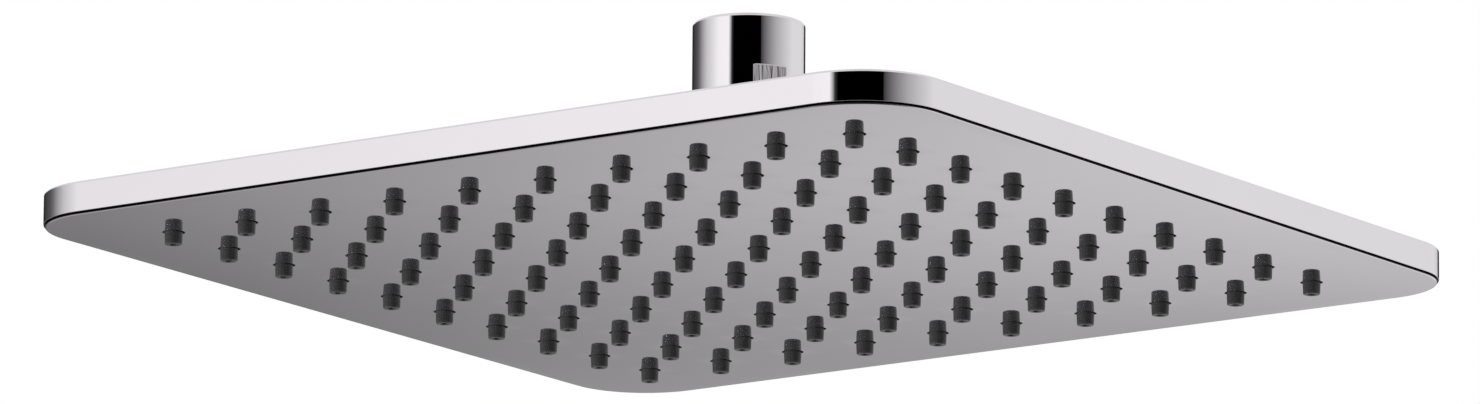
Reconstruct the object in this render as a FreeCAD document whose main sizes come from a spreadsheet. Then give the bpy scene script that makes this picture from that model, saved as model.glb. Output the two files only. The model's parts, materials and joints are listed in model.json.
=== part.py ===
import FreeCAD, Part
import math
import os
import Sketcher
from FreeCAD import Placement, Rotation, Vector

# Square rain shower head on a swivel ball connector.
# Millimetres. +Z runs up the inlet pipe and the origin is the mouth of the inlet thread.
# Heights in the sheet are taken from the plane of the face's edge, mouth_height below the origin,
# apart from those of the ball joint's pieces, which are turned about the centre of the ball.

doc = FreeCAD.newDocument("rain_shower_head")
sheet = doc.addObject("Spreadsheet::Sheet", "sizes")

SIZES = [
    ("head_side", 250, "side of the square head"),
    ("corner_radius", 20.5, "corners of the head seen from below"),
    ("mouth_height", 56.7, "inlet mouth above the face's edge"),
    ("ball_height", 22.5, "centre of the ball above the face's edge"),
    ("cover_edge", 8, "top of the cover at its edge"),
    ("cover_crown", 6, "rise of the cover from its edge to its middle"),
    ("cover_wall", 2, "thickness of the cover"),
    ("cover_round", 0.6, "rounding of the cover's upper edge"),
    ("skirt_gap", 0.3, "shadow gap between the cover's skirt and the face plate"),
    ("step_clearance", 0.15, "face plate's step inside the cover's skirt"),
    ("seat_radius", 19.5, "flat seat for the ball nut on the cover"),
    ("seat_rise", 0.4, "height of that seat over the crown"),
    ("face_crown", 1.2, "bulge of the face in its middle"),
    ("face_thickness", 1.6, "thickness of the face plate at its edge"),
    ("face_inset", 0.4, "face plate's edge inside the head's outline"),
    ("face_lip", 0.4, "thickness of the lip below the cover's skirt"),
    ("nozzle_pitch", 21.6, "spacing of the nozzles"),
    ("nozzle_base", 4.3, "width of a nozzle where it leaves the plate"),
    ("nozzle_tip", 4.1, "width of a nozzle at its tip"),
    ("nozzle_reach", 3, "length of a nozzle below the face"),
    ("nozzle_bore", 1.9, "width of a nozzle's outlet"),
    ("nozzle_clearance", 0.25, "gap between a nozzle and its hole, all round"),
    ("small_sides", 8, "sides of the nozzles, their holes and the self-tapping screws"),
    ("bore_sides", 6, "sides of the nozzles' outlets"),
    ("mat_thickness", 1, "thickness of the rubber mat"),
    ("mat_margin", 11, "least width of mat beyond the outermost nozzles"),
    ("mat_clearance", 0.5, "mat inside the chamber's wall"),
    ("water_gap", 1.6, "depth of the water over the mat"),
    ("chamber_sheet", 1.6, "thickness of the chamber plate"),
    ("chamber_setback", 3.5, "chamber plate inside the face plate's step"),
    ("chamber_wall", 9.65, "width of the chamber's wall round the mat"),
    ("post_side", 3, "side of the posts that hold the mat down"),
    ("rib_width", 1.6, "width of the chamber plate's ribs"),
    ("rib_height", 1.4, "height of the chamber plate's ribs"),
    ("rib_setback", 5.7, "outer end of the ribs inside the chamber's wall"),
    ("boss_radius", 26, "boss under the socket's flange"),
    ("seal_offset", 2.6, "middle of the seal outside the chamber's inner wall"),
    ("seal_width", 2, "width of the chamber's seal"),
    ("seal_height", 1.3, "height of the chamber's seal"),
    ("screw_inset", 3.2, "chamber screws inside the chamber plate's edge"),
    ("screw_margin", 43.35, "outer chamber screws from the chamber plate's corner"),
    ("screw_width", 2.5, "width of a self-tapping screw"),
    ("screw_head", 4.6, "width of its head"),
    ("screw_head_height", 1.4, "height of its head"),
    ("screw_clearance", 0.1, "gap between a screw and its hole, all round"),
    ("screw_tip_cover", 0.5, "plastic left below a chamber screw's hole"),
    ("screw_tip_gap", 0.3, "room below a screw's tip"),
    ("flange_radius", 24, "flange of the ball socket"),
    ("flange_thickness", 2.7, "thickness of that flange"),
    ("flange_room", 1, "room round the flange under the cover"),
    ("flange_circle", 19.2, "radius of the circle of the flange's screws"),
    ("flange_hole_depth", 5.2, "depth of a flange screw's hole in the boss"),
    ("gasket_inner", 8.4, "inner radius of the socket's gasket"),
    ("gasket_outer", 12, "outer radius of the socket's gasket"),
    ("gasket_height", 1.2, "height of the socket's gasket"),
    ("inlet_radius", 6.7, "water way below the ball"),
    ("ball_radius", 11, "ball of the connector"),
    ("ball_clearance", 0.15, "gap at each spherical face of the ball joint"),
    ("ball_flat", 9.5, "flat end of the ball below its centre"),
    ("waterway_radius", 4.25, "bore through the connector's neck"),
    ("neck_radius", 5.8, "neck between the ball and the connector"),
    ("ring_radius", 13, "outer spherical face of the friction ring"),
    ("ring_low", 1.6, "lower face of the friction ring above the centre"),
    ("ring_high", 7, "upper face of the friction ring above the centre"),
    ("seal_high", 3.6, "upper face of the ball's seal below the centre"),
    ("seal_low", 9, "lower face of the ball's seal below the centre"),
    ("socket_bore", 13.3, "radius of the socket's bore"),
    ("socket_radius", 15.5, "radius of the socket's thread"),
    ("socket_top", 0.7, "rim of the socket below the centre"),
    ("thread_clearance", 0.2, "gap between the nut and the socket's thread"),
    ("washer_thickness", 0.5, "washer between the nut and the cover"),
    ("washer_inset", 0.3, "that washer's edge inside the nut's flutes"),
    ("nut_radius", 18, "outer radius of the ball nut"),
    ("nut_top", 8.6, "top of the ball nut above the centre"),
    ("nut_mouth", 10.35, "radius of the nut's opening"),
    ("nut_bevel", 3.2, "bevel round the nut's shoulder"),
    ("flute_radius", 3, "radius of a grip flute in the nut"),
    ("flute_depth", 0.7, "depth of a grip flute"),
    ("flute_count", 12, "grip flutes round the nut"),
    ("flute_band", 1, "plain band below and above the flutes"),
    ("connector_radius", 13.5, "outer radius of the connector"),
    ("connector_foot", 14.5, "underside of the connector above the centre"),
    ("connector_round", 0.8, "rounding of the connector's ends"),
    ("flat_width", 25.6, "width across the two spanner flats"),
    ("flat_height", 7, "height of the spanner flats"),
    ("flat_turn", 32, "flats turned from the X axis, clockwise seen from above"),
    ("thread_radius", 10.5, "root radius of the inlet thread"),
    ("thread_depth", 12, "depth of the inlet thread"),
    ("recess_radius", 10.3, "washer's recess below the thread"),
    ("inlet_washer_height", 2.2, "height of the inlet washer"),
    ("inlet_washer_bore", 5.6, "inner radius of the inlet washer"),
    ("washer_clearance", 0.2, "washer and screen inside their recess"),
    ("screen_thickness", 0.4, "thickness of the filter screen"),
    ("screen_hole", 2.2, "side of an opening in the filter screen"),
    ("screen_pitch", 3, "spacing of those openings"),
    ("pocket_radius", 6.5, "pocket of the flow regulator"),
    ("pocket_depth", 3, "depth of that pocket"),
    ("regulator_clearance", 0.12, "regulator inside its pocket"),
    ("groove_radius", 5, "floor of the regulator's groove"),
    ("groove_width", 1.5, "width of the regulator's groove"),
    ("o_ring_radius", 0.7, "section radius of the regulator's O-ring"),
    ("regulator_hole", 0.9, "radius of a hole in the regulator"),
    ("regulator_circle", 2.6, "radius of the circle of those holes"),
]
for row, (alias, number, note) in enumerate(SIZES, 1):
    sheet.set(f"A{row}", alias)
    sheet.set(f"B{row}", str(number))
    sheet.setAlias(f"B{row}", alias)
    sheet.set(f"C{row}", note)
doc.recompute()

# How far a cutting form runs past the face that it opens.
OVERCUT = 1

# Sizes that several pieces share, written with the sheet's names.
STEP_SIDE = "(sizes.head_side - 2 * (sizes.cover_wall + sizes.step_clearance))"
STEP_RADIUS = "(sizes.corner_radius - sizes.cover_wall - sizes.step_clearance)"
CHAMBER_SIDE = f"({STEP_SIDE} - 2 * sizes.chamber_setback)"
CHAMBER_RADIUS = f"({STEP_RADIUS} - sizes.chamber_setback)"
POOL_SIDE = f"({CHAMBER_SIDE} - 2 * sizes.chamber_wall)"
MAT_SIDE = f"({POOL_SIDE} - 2 * sizes.mat_clearance)"
NOZZLE_ROWS = f"(1 + floor(({MAT_SIDE} - 2 * sizes.mat_margin) / sizes.nozzle_pitch))"
FIRST_NOZZLE = f"(0 - ({NOZZLE_ROWS} - 1) / 2 * sizes.nozzle_pitch)"
SEAL_SIDE = f"({POOL_SIDE} + 2 * sizes.seal_offset)"
SCREW_LINE = f"({CHAMBER_SIDE} / 2 - sizes.screw_inset)"
SCREW_SPACING = f"({CHAMBER_SIDE} / 2 - sizes.screw_margin)"
CHAMBER_FLOOR = "(sizes.face_thickness + sizes.mat_thickness + sizes.water_gap)"
CHAMBER_TOP = f"({CHAMBER_FLOOR} + sizes.chamber_sheet)"
COVER_PEAK = "(sizes.cover_edge + sizes.cover_crown)"
FLANGE_TOP = f"({COVER_PEAK} - sizes.cover_wall)"
FLANGE_BASE = f"({FLANGE_TOP} - sizes.flange_thickness)"
SEAT_TOP = f"({COVER_PEAK} + sizes.seat_rise)"
NUT_BASE = f"({SEAT_TOP} + sizes.washer_thickness - sizes.ball_height)"
THREAD_BORE = "(sizes.socket_radius + sizes.thread_clearance)"
BALL_SEAT = "(sizes.ball_radius + sizes.ball_clearance)"
MOUTH = "(sizes.mouth_height - sizes.ball_height)"
THREAD_END = f"({MOUTH} - sizes.thread_depth)"
LEDGE = f"({THREAD_END} - sizes.inlet_washer_height - sizes.screen_thickness)"
FACE_PLANE = "(0 - sizes.mouth_height)"
BALL_CENTRE = "(sizes.ball_height - sizes.mouth_height)"

parts = []


def size(expression):
    return float(sheet.evalExpression(expression))


def keep(piece, name, base, turn=0.0):
    # Each finished piece is named and set at its height above or below the origin.
    piece.Label = name
    piece.Placement = Placement(Vector(0, 0, size(base)), Rotation(Vector(0, 0, 1), turn))
    piece.setExpression("Placement.Base.z", base)
    parts.append(piece)
    return piece


def new_body(name):
    return doc.addObject("PartDesign::Body", f"{name}_body")


def new_sketch(body, name, role="XY_Plane", height=None):
    sketch = body.newObject("Sketcher::SketchObject", name)
    plane = [feature for feature in body.Origin.OriginFeatures if feature.Role == role][0]
    sketch.AttachmentSupport = [(plane, "")]
    sketch.MapMode = "FlatFace"
    if height:
        sketch.setExpression("AttachmentOffset.Base.z", height)
    return sketch


def bind(sketch, constraints):
    # Adds constraints in one go. Each is a Sketcher constraint's values, and its expression or
    # None, and a distance of nought puts the point on the axis itself.
    made = []
    bound = []
    for values, expression in constraints:
        if expression == "0":
            axis = -2 if values[0] == "DistanceX" else -1
            made.append(Sketcher.Constraint("PointOnObject", *values[3:], axis))
        elif expression:
            bound.append((sketch.ConstraintCount + len(made), expression))
            made.append(Sketcher.Constraint(*values, size(expression)))
        else:
            made.append(Sketcher.Constraint(*values))
    sketch.addConstraint(made)
    for index, expression in bound:
        sketch.setExpression(f"Constraints[{index}]", expression)


def from_origin(geometry, point, x, y):
    return [(("DistanceX", -1, 1, geometry, point), x), (("DistanceY", -1, 1, geometry, point), y)]


def rounded_square(sketch, side, radius):
    # Four corner arcs, each centred inside its corner, and four lines tangent to them.
    reach = size(f"{side} / 2 - {radius}")
    round_off = size(radius)
    signs = [(1, 1), (-1, 1), (-1, -1), (1, -1)]
    arcs = []
    for quarter, (across, up) in enumerate(signs):
        ring = Part.Circle(Vector(across * reach, up * reach, 0), Vector(0, 0, 1), round_off)
        start = quarter * math.pi / 2
        arcs.append(Part.ArcOfCircle(ring, start, start + math.pi / 2))
    lines = [Part.LineSegment(arcs[quarter].EndPoint, arcs[(quarter + 1) % 4].StartPoint)
             for quarter in range(4)]
    first = sketch.GeometryCount
    sketch.addGeometry(arcs + lines)
    constraints = []
    for quarter, (across, up) in enumerate(signs):
        arc = first + quarter
        line = first + 4 + quarter
        following = first + (quarter + 1) % 4
        constraints.append((("Tangent", arc, 2, line, 1), None))
        constraints.append((("Tangent", line, 2, following, 1), None))
        constraints += from_origin(arc, 3, f"{across} * ({side} / 2 - {radius})",
                                   f"{up} * ({side} / 2 - {radius})")
        constraints.append((("Radius", arc), radius))
    bind(sketch, constraints)


def polygon(sketch, sides, width, x, y):
    # A regular polygon of a given width across its flats, with two sides upright.
    corner = size(width) / 2 / math.cos(math.pi / sides)
    centre = Vector(size(x), size(y), 0)
    ring = sketch.addGeometry(Part.Circle(centre, Vector(0, 0, 1), corner), True)
    points = []
    for step in range(sides):
        angle = (2 * step - 1) * math.pi / sides
        points.append(centre + corner * Vector(math.cos(angle), math.sin(angle), 0))
    sketch.addGeometry([Part.LineSegment(points[step], points[(step + 1) % sides])
                        for step in range(sides)])
    constraints = from_origin(ring, 3, x, y)
    constraints.append((("Radius", ring), f"{width} / 2 / cos(180 deg / {sides})"))
    constraints.append((("Vertical", ring + 1), None))
    for step in range(sides):
        line = ring + 1 + step
        constraints.append((("Coincident", line, 2, ring + 1 + (step + 1) % sides, 1), None))
        constraints.append((("PointOnObject", line, 1, ring), None))
        if step:
            constraints.append((("Equal", ring + 1, line), None))
    bind(sketch, constraints)


def circle(sketch, radius, x="0", y="0"):
    middle = Vector(size(x), size(y), 0)
    ring = sketch.addGeometry(Part.Circle(middle, Vector(0, 0, 1), size(radius)))
    bind(sketch, from_origin(ring, 3, x, y) + [(("Radius", ring), radius)])


def rectangle(sketch, left, right, low, high):
    corners = [(left, low), (right, low), (right, high), (left, high)]
    points = [Vector(size(x), size(y), 0) for x, y in corners]
    first = sketch.GeometryCount
    sketch.addGeometry([Part.LineSegment(points[step], points[(step + 1) % 4])
                        for step in range(4)])
    constraints = []
    for step in range(4):
        line = first + step
        constraints.append((("Coincident", line, 2, first + (step + 1) % 4, 1), None))
        constraints.append((("Vertical" if step % 2 else "Horizontal", line), None))
    constraints += from_origin(first, 1, left, low)
    constraints += from_origin(first + 2, 1, right, high)
    bind(sketch, constraints)


def turned(body, name, corners):
    # A closed profile of radii and heights, turned about Z. A third entry in a corner is the
    # radius of an arc about the centre of the ball, which runs on to the next corner.
    sketch = new_sketch(body, name, "XZ_Plane")
    points = [Vector(size(corner[0]), size(corner[1]), 0) for corner in corners]
    edges = []
    ends = []
    for step, corner in enumerate(corners):
        start = points[step]
        end = points[(step + 1) % len(points)]
        forward = True
        if len(corner) == 2:
            edges.append(Part.LineSegment(start, end))
        else:
            arc = Part.Circle(Vector(0, 0, 0), Vector(0, 0, 1), size(corner[2]))
            angles = math.atan2(start.y, start.x), math.atan2(end.y, end.x)
            forward = angles[0] < angles[1]
            edges.append(Part.ArcOfCircle(arc, min(angles), max(angles)))
        ends.append((step, 1, 2) if forward else (step, 2, 1))
    sketch.addGeometry(edges)
    constraints = []
    for step, corner in enumerate(corners):
        edge, start, end = ends[step]
        following = ends[(step + 1) % len(ends)]
        constraints.append((("Coincident", edge, end, following[0], following[1]), None))
        if len(corner) == 3:
            constraints.append((("Coincident", edge, 3, -1, 1), None))
            constraints.append((("Radius", edge), corner[2]))
        across, up = from_origin(edge, start, corner[0], corner[1])
        constraints.append(up)
        if len(corner) == 2 and len(corners[step - 1]) == 2:
            constraints.append(across)
    bind(sketch, constraints)
    turn = body.newObject("PartDesign::Revolution", f"{name}_turn")
    turn.Profile = sketch
    turn.ReferenceAxis = (sketch, ["V_Axis"])
    turn.Angle = 360
    doc.recompute()
    return turn


def pad(body, sketch, length, name):
    feature = body.newObject("PartDesign::Pad", name)
    feature.Profile = sketch
    feature.Length = size(length)
    feature.setExpression("Length", length)
    doc.recompute()
    return feature


def pocket(body, sketch, depth, name):
    # Cuts upwards from the sketch.
    before = body.Shape.Volume
    feature = body.newObject("PartDesign::Pocket", name)
    feature.Profile = sketch
    feature.Length = size(depth)
    feature.setExpression("Length", depth)
    feature.Reversed = True
    doc.recompute()
    if not body.Shape.Volume < before:
        raise ValueError(f"{name} cuts nothing")
    return feature


def grid(body, feature, sketch, name, pitch, count):
    # Repeats a feature along both directions of its sketch.
    field = body.newObject("PartDesign::MultiTransform", name)
    field.Originals = [feature]
    rows = []
    for axis in ("H_Axis", "V_Axis"):
        line = body.newObject("PartDesign::LinearPattern", f"{name}_{axis[0]}")
        line.Direction = (sketch, [axis])
        line.setExpression("Length", f"({count} - 1) * {pitch}")
        line.setExpression("Occurrences", count)
        rows.append(line)
    field.Transformations = rows
    body.Tip = field
    doc.recompute()
    return field


def around(body, features, sketch, name, count):
    ring = body.newObject("PartDesign::PolarPattern", name)
    ring.Originals = features
    ring.Axis = (sketch, ["N_Axis"])
    ring.Angle = 360
    ring.setExpression("Occurrences", count)
    body.Tip = ring
    doc.recompute()
    return ring


def crowned(name, side, edge, crown, depth):
    # A slab below a doubly curved face with straight edges at height edge. Its middle stands
    # crown higher, and the control point over it four times that.
    half = size(side) / 2
    surface = Part.BezierSurface()
    surface.increase(2, 2)
    for column, x in enumerate((-half, 0, half), 1):
        for line, y in enumerate((-half, 0, half), 1):
            rise = 4 * size(crown) if column == line == 2 else 0
            surface.setPole(column, line, Vector(x, y, size(edge) + rise))
    slab = doc.addObject("Part::Feature", name)
    slab.Shape = surface.toShape().extrude(Vector(0, 0, size(depth)))
    return slab


def combine(kind, name, base, tool):
    result = doc.addObject(kind, name)
    result.Base = base
    result.Tool = tool
    doc.recompute()
    return result


def screw_places():
    # Three chamber screws along each side of the chamber plate, by side and step.
    line = size(SCREW_LINE)
    for quarter in range(4):
        for step in (-1, 0, 1):
            across = step * size(SCREW_SPACING)
            yield Rotation(Vector(0, 0, 1), 90 * quarter).multVec(Vector(across, -line, 0))


def make_face_plate():
    # A step inside a thin lip, flat inside and crowned outside, with a hole for each nozzle.
    blank = new_body("face_blank")
    lip = new_sketch(blank, "lip_outline", height="0 - 2 * sizes.face_crown")
    rounded_square(lip, "(sizes.head_side - 2 * sizes.face_inset)",
                   "(sizes.corner_radius - sizes.face_inset)")
    pad(blank, lip, "2 * sizes.face_crown + sizes.face_lip", "lip")
    step = new_sketch(blank, "step_outline")
    rounded_square(step, STEP_SIDE, STEP_RADIUS)
    pad(blank, step, "sizes.face_thickness", "step")
    screws = new_sketch(blank, "screw_hole_outlines", height="sizes.screw_tip_cover")
    for step in (-1, 0, 1):
        polygon(screws, int(size("sizes.small_sides")),
                "(sizes.screw_width + 2 * sizes.screw_clearance)",
                f"({step} * {SCREW_SPACING})" if step else "0", f"(0 - {SCREW_LINE})")
    holes = pocket(blank, screws, "sizes.face_thickness", "screw_holes")
    around(blank, [holes], screws, "all_screw_holes", "4")
    bulge = crowned("face_bulge", "sizes.head_side", "0", "(0 - sizes.face_crown)",
                    "sizes.face_thickness + sizes.face_crown")
    plate = new_body("face_plate")
    plate.BaseFeature = combine("Part::Common", "face_plate_blank", blank, bulge)
    doc.recompute()
    hole = new_sketch(plate, "nozzle_hole_outline", height="0 - 2 * sizes.face_crown")
    polygon(hole, int(size("sizes.small_sides")),
            "(sizes.nozzle_base + 2 * sizes.nozzle_clearance)", FIRST_NOZZLE, FIRST_NOZZLE)
    depth = f"2 * sizes.face_crown + sizes.face_thickness + {OVERCUT}"
    cut = pocket(plate, hole, depth, "nozzle_hole")
    grid(plate, cut, hole, "nozzle_holes", "sizes.nozzle_pitch", NOZZLE_ROWS)
    return keep(plate, "face_plate", FACE_PLANE)


def face_height(x, y):
    half = size("sizes.head_side") / 2
    return -size("sizes.face_crown") * (1 - (x / half) ** 2) * (1 - (y / half) ** 2)


def prism(sides, low_width, high_width, x, y, low, high):
    # A tapered form of widths across its flats at two heights.
    rings = []
    for width, height in ((low_width, low), (high_width, high)):
        corner = width / 2 / math.cos(math.pi / sides)
        angles = [(2 * step - 1) * math.pi / sides for step in range(sides + 1)]
        rings.append(Part.makePolygon(
            [Vector(x + corner * math.cos(angle), y + corner * math.sin(angle), height)
             for angle in angles]))
    return Part.makeLoft(rings, True, True)


def make_nozzle_mat():
    # A flat rubber sheet with its nozzles in one piece. Each reaches as far below the crowned
    # face as the next, so their lengths differ, and each has its outlet right through it.
    count = round(size(NOZZLE_ROWS))
    pitch = size("sizes.nozzle_pitch")
    first = size(FIRST_NOZZLE)
    sides = int(size("sizes.small_sides"))
    bore_sides = int(size("sizes.bore_sides"))
    base, tip = size("sizes.nozzle_base"), size("sizes.nozzle_tip")
    bore = size("sizes.nozzle_bore")
    side = size(MAT_SIDE)
    root = size("sizes.face_thickness")
    top = root + size("sizes.mat_thickness")
    nozzles = []
    outlets = []
    for column in range(count):
        for line in range(count):
            x = first + column * pitch
            y = first + line * pitch
            end = face_height(x, y) - size("sizes.nozzle_reach")
            nozzles.append(prism(sides, tip, base, x, y, end, root))
            outlets.append(prism(bore_sides, bore, bore, x, y, end - OVERCUT, top + OVERCUT))
    flat = Part.makeBox(side, side, top - root, Vector(-side / 2, -side / 2, root))
    mat = doc.addObject("Part::Feature", "nozzle_mat_shape")
    mat.Shape = flat.fuse(nozzles).cut(Part.Compound(outlets))
    return keep(mat, "nozzle_mat", FACE_PLANE)


def make_chamber_seal():
    body = new_body("chamber_seal")
    loop = new_sketch(body, "loop_outlines", height="sizes.face_thickness")
    round_off = f"({CHAMBER_RADIUS} - ({CHAMBER_SIDE} - {SEAL_SIDE}) / 2"
    rounded_square(loop, f"({SEAL_SIDE} + sizes.seal_width)",
                   f"{round_off} + sizes.seal_width / 2)")
    rounded_square(loop, f"({SEAL_SIDE} - sizes.seal_width)",
                   f"{round_off} - sizes.seal_width / 2)")
    pad(body, loop, "sizes.seal_height", "loop")
    return keep(body, "chamber_seal", FACE_PLANE)


def make_chamber_plate():
    # The lid of the water chamber: a sheet with a wall round it, a seal groove in the wall,
    # posts over the mat, ribs on its back and a boss that carries the ball socket.
    body = new_body("chamber_plate")
    outline = new_sketch(body, "outline", height="sizes.face_thickness")
    rounded_square(outline, CHAMBER_SIDE, CHAMBER_RADIUS)
    pad(body, outline, f"{CHAMBER_TOP} - sizes.face_thickness", "sheet")
    boss = new_sketch(body, "boss_outline", height=CHAMBER_FLOOR)
    circle(boss, "sizes.boss_radius")
    pad(body, boss, f"{FLANGE_BASE} - {CHAMBER_FLOOR}", "boss")
    rib = new_sketch(body, "rib_outline", height=CHAMBER_FLOOR)
    rectangle(rib, "(sizes.boss_radius - sizes.rib_width)", f"({POOL_SIDE} / 2 - sizes.rib_setback)",
              "(0 - sizes.rib_width / 2)", "(sizes.rib_width / 2)")
    ribs = pad(body, rib, "sizes.chamber_sheet + sizes.rib_height", "rib")
    around(body, [ribs], rib, "ribs", "8")
    pool = new_sketch(body, "pool_outline", height="sizes.face_thickness")
    rectangle(pool, f"(0 - {POOL_SIDE} / 2)", f"({POOL_SIDE} / 2)",
              f"(0 - {POOL_SIDE} / 2)", f"({POOL_SIDE} / 2)")
    pocket(body, pool, "sizes.mat_thickness + sizes.water_gap", "pool")
    # The posts stand between the nozzles, at every second gap.
    corner = f"({FIRST_NOZZLE} + sizes.nozzle_pitch / 2)"
    post = new_sketch(body, "post_outline", height="sizes.face_thickness + sizes.mat_thickness")
    rectangle(post, f"({corner} - sizes.post_side / 2)", f"({corner} + sizes.post_side / 2)",
              f"({corner} - sizes.post_side / 2)", f"({corner} + sizes.post_side / 2)")
    posts = pad(body, post, "sizes.water_gap", "post")
    grid(body, posts, post, "posts", "(2 * sizes.nozzle_pitch)", f"floor({NOZZLE_ROWS} / 2)")
    groove = new_sketch(body, "groove_outlines", height="sizes.face_thickness")
    round_off = f"({CHAMBER_RADIUS} - ({CHAMBER_SIDE} - {SEAL_SIDE}) / 2"
    rounded_square(groove, f"({SEAL_SIDE} + sizes.seal_width)",
                   f"{round_off} + sizes.seal_width / 2)")
    rounded_square(groove, f"({SEAL_SIDE} - sizes.seal_width)",
                   f"{round_off} - sizes.seal_width / 2)")
    pocket(body, groove, "sizes.seal_height", "groove")
    inlet = new_sketch(body, "inlet_outline", height="sizes.face_thickness")
    circle(inlet, "sizes.inlet_radius")
    pocket(body, inlet, FLANGE_BASE, "inlet")
    gasket = new_sketch(body, "gasket_outlines", height=f"{FLANGE_BASE} - sizes.gasket_height")
    circle(gasket, "sizes.gasket_inner")
    circle(gasket, "sizes.gasket_outer")
    pocket(body, gasket, f"sizes.gasket_height + {OVERCUT}", "gasket_groove")
    flange_hole = new_sketch(
        body, "flange_hole_outline", height=f"{FLANGE_BASE} - sizes.flange_hole_depth")
    polygon(flange_hole, int(size("sizes.small_sides")),
            "(sizes.screw_width + 2 * sizes.screw_clearance)", "sizes.flange_circle", "0")
    holes = pocket(body, flange_hole, f"sizes.flange_hole_depth + {OVERCUT}", "flange_hole")
    around(body, [holes], flange_hole, "flange_holes", "4")
    for name, width, low in (
            ("screw_hole", "sizes.screw_width", "sizes.face_thickness"),
            ("head_hole", "sizes.screw_head", f"({CHAMBER_TOP} - sizes.screw_head_height)")):
        holes = new_sketch(body, f"{name}_outlines", height=low)
        for step in (-1, 0, 1):
            polygon(holes, int(size("sizes.small_sides")),
                    f"({width} + 2 * sizes.screw_clearance)",
                    f"({step} * {SCREW_SPACING})" if step else "0", f"(0 - {SCREW_LINE})")
        cut = pocket(body, holes, f"{CHAMBER_TOP}", name)
        around(body, [cut], holes, f"{name}s", "4")
    return keep(body, "chamber_plate", FACE_PLANE)


def make_screw(name, place, head_base, length, turn):
    # A self-tapping screw, head up, set by the underside of its head.
    sides = int(size("sizes.small_sides"))
    pieces = []
    for part, width, low, high in (
            ("head", "sizes.screw_head", "0", "sizes.screw_head_height"),
            ("shank", "sizes.screw_width", f"(0 - {length})", "0")):
        column = doc.addObject("Part::Prism", f"{name}_{part}")
        column.Polygon = sides
        column.setExpression("Circumradius", f"{width} / 2 / cos(180 deg / {sides})")
        column.setExpression("Height", f"{high} - {low}")
        column.Placement = Placement(
            Vector(0, 0, size(low)), Rotation(Vector(0, 0, 1), 180 / sides))
        column.setExpression("Placement.Base.z", low)
        pieces.append(column)
    doc.recompute()
    screw = combine("Part::Fuse", f"{name}_shape", *pieces)
    keep(screw, name, f"({head_base} - sizes.mouth_height)")
    screw.Placement = Placement(
        Vector(place.x, place.y, screw.Placement.Base.z), Rotation(Vector(0, 0, 1), turn))
    return screw


def make_screws():
    length = (f"({CHAMBER_TOP} - sizes.screw_head_height - sizes.screw_tip_cover"
              " - sizes.screw_tip_gap)")
    flange_length = ("(sizes.flange_thickness - sizes.screw_head_height"
                     " + sizes.flange_hole_depth - sizes.screw_tip_gap)")
    for number, place in enumerate(screw_places(), 1):
        make_screw(f"chamber_screw_{number:02d}", place,
                   f"({CHAMBER_TOP} - sizes.screw_head_height)", length, 0)
    for number in range(4):
        turn = 90 * number
        place = Rotation(Vector(0, 0, 1), turn).multVec(Vector(size("sizes.flange_circle"), 0, 0))
        make_screw(f"flange_screw_{number + 1}", place,
                   f"({FLANGE_TOP} - sizes.screw_head_height)", flange_length, 0)


def make_socket_gasket():
    body = new_body("socket_gasket")
    ring = new_sketch(body, "ring_outlines", height=f"{FLANGE_BASE} - sizes.gasket_height")
    circle(ring, "sizes.gasket_inner")
    circle(ring, "sizes.gasket_outer")
    pad(body, ring, "sizes.gasket_height", "ring")
    return keep(body, "socket_gasket", FACE_PLANE)


def make_ball_socket():
    # A threaded brass cup on a flange, which holds the seal under the ball.
    body = new_body("ball_socket")
    base = f"({FLANGE_BASE} - sizes.ball_height)"
    top = f"({FLANGE_TOP} - sizes.ball_height)"
    turned(body, "cup", [
        ("sizes.inlet_radius", base),
        ("sizes.flange_radius", base),
        ("sizes.flange_radius", top),
        ("sizes.socket_radius", top),
        ("sizes.socket_radius", "(0 - sizes.socket_top)"),
        ("sizes.socket_bore", "(0 - sizes.socket_top)"),
        ("sizes.socket_bore", "(0 - sizes.seal_low)"),
        ("sizes.inlet_radius", "(0 - sizes.seal_low)")])
    for name, width, low in (
            ("screw_hole", "sizes.screw_width", base),
            ("head_hole", "sizes.screw_head", f"({top} - sizes.screw_head_height)")):
        hole = new_sketch(body, f"{name}_outline", height=low)
        polygon(hole, int(size("sizes.small_sides")),
                f"({width} + 2 * sizes.screw_clearance)", "sizes.flange_circle", "0")
        cut = pocket(body, hole, "sizes.flange_thickness", name)
        around(body, [cut], hole, f"{name}s", "4")
    return keep(body, "ball_socket", BALL_CENTRE)


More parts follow.
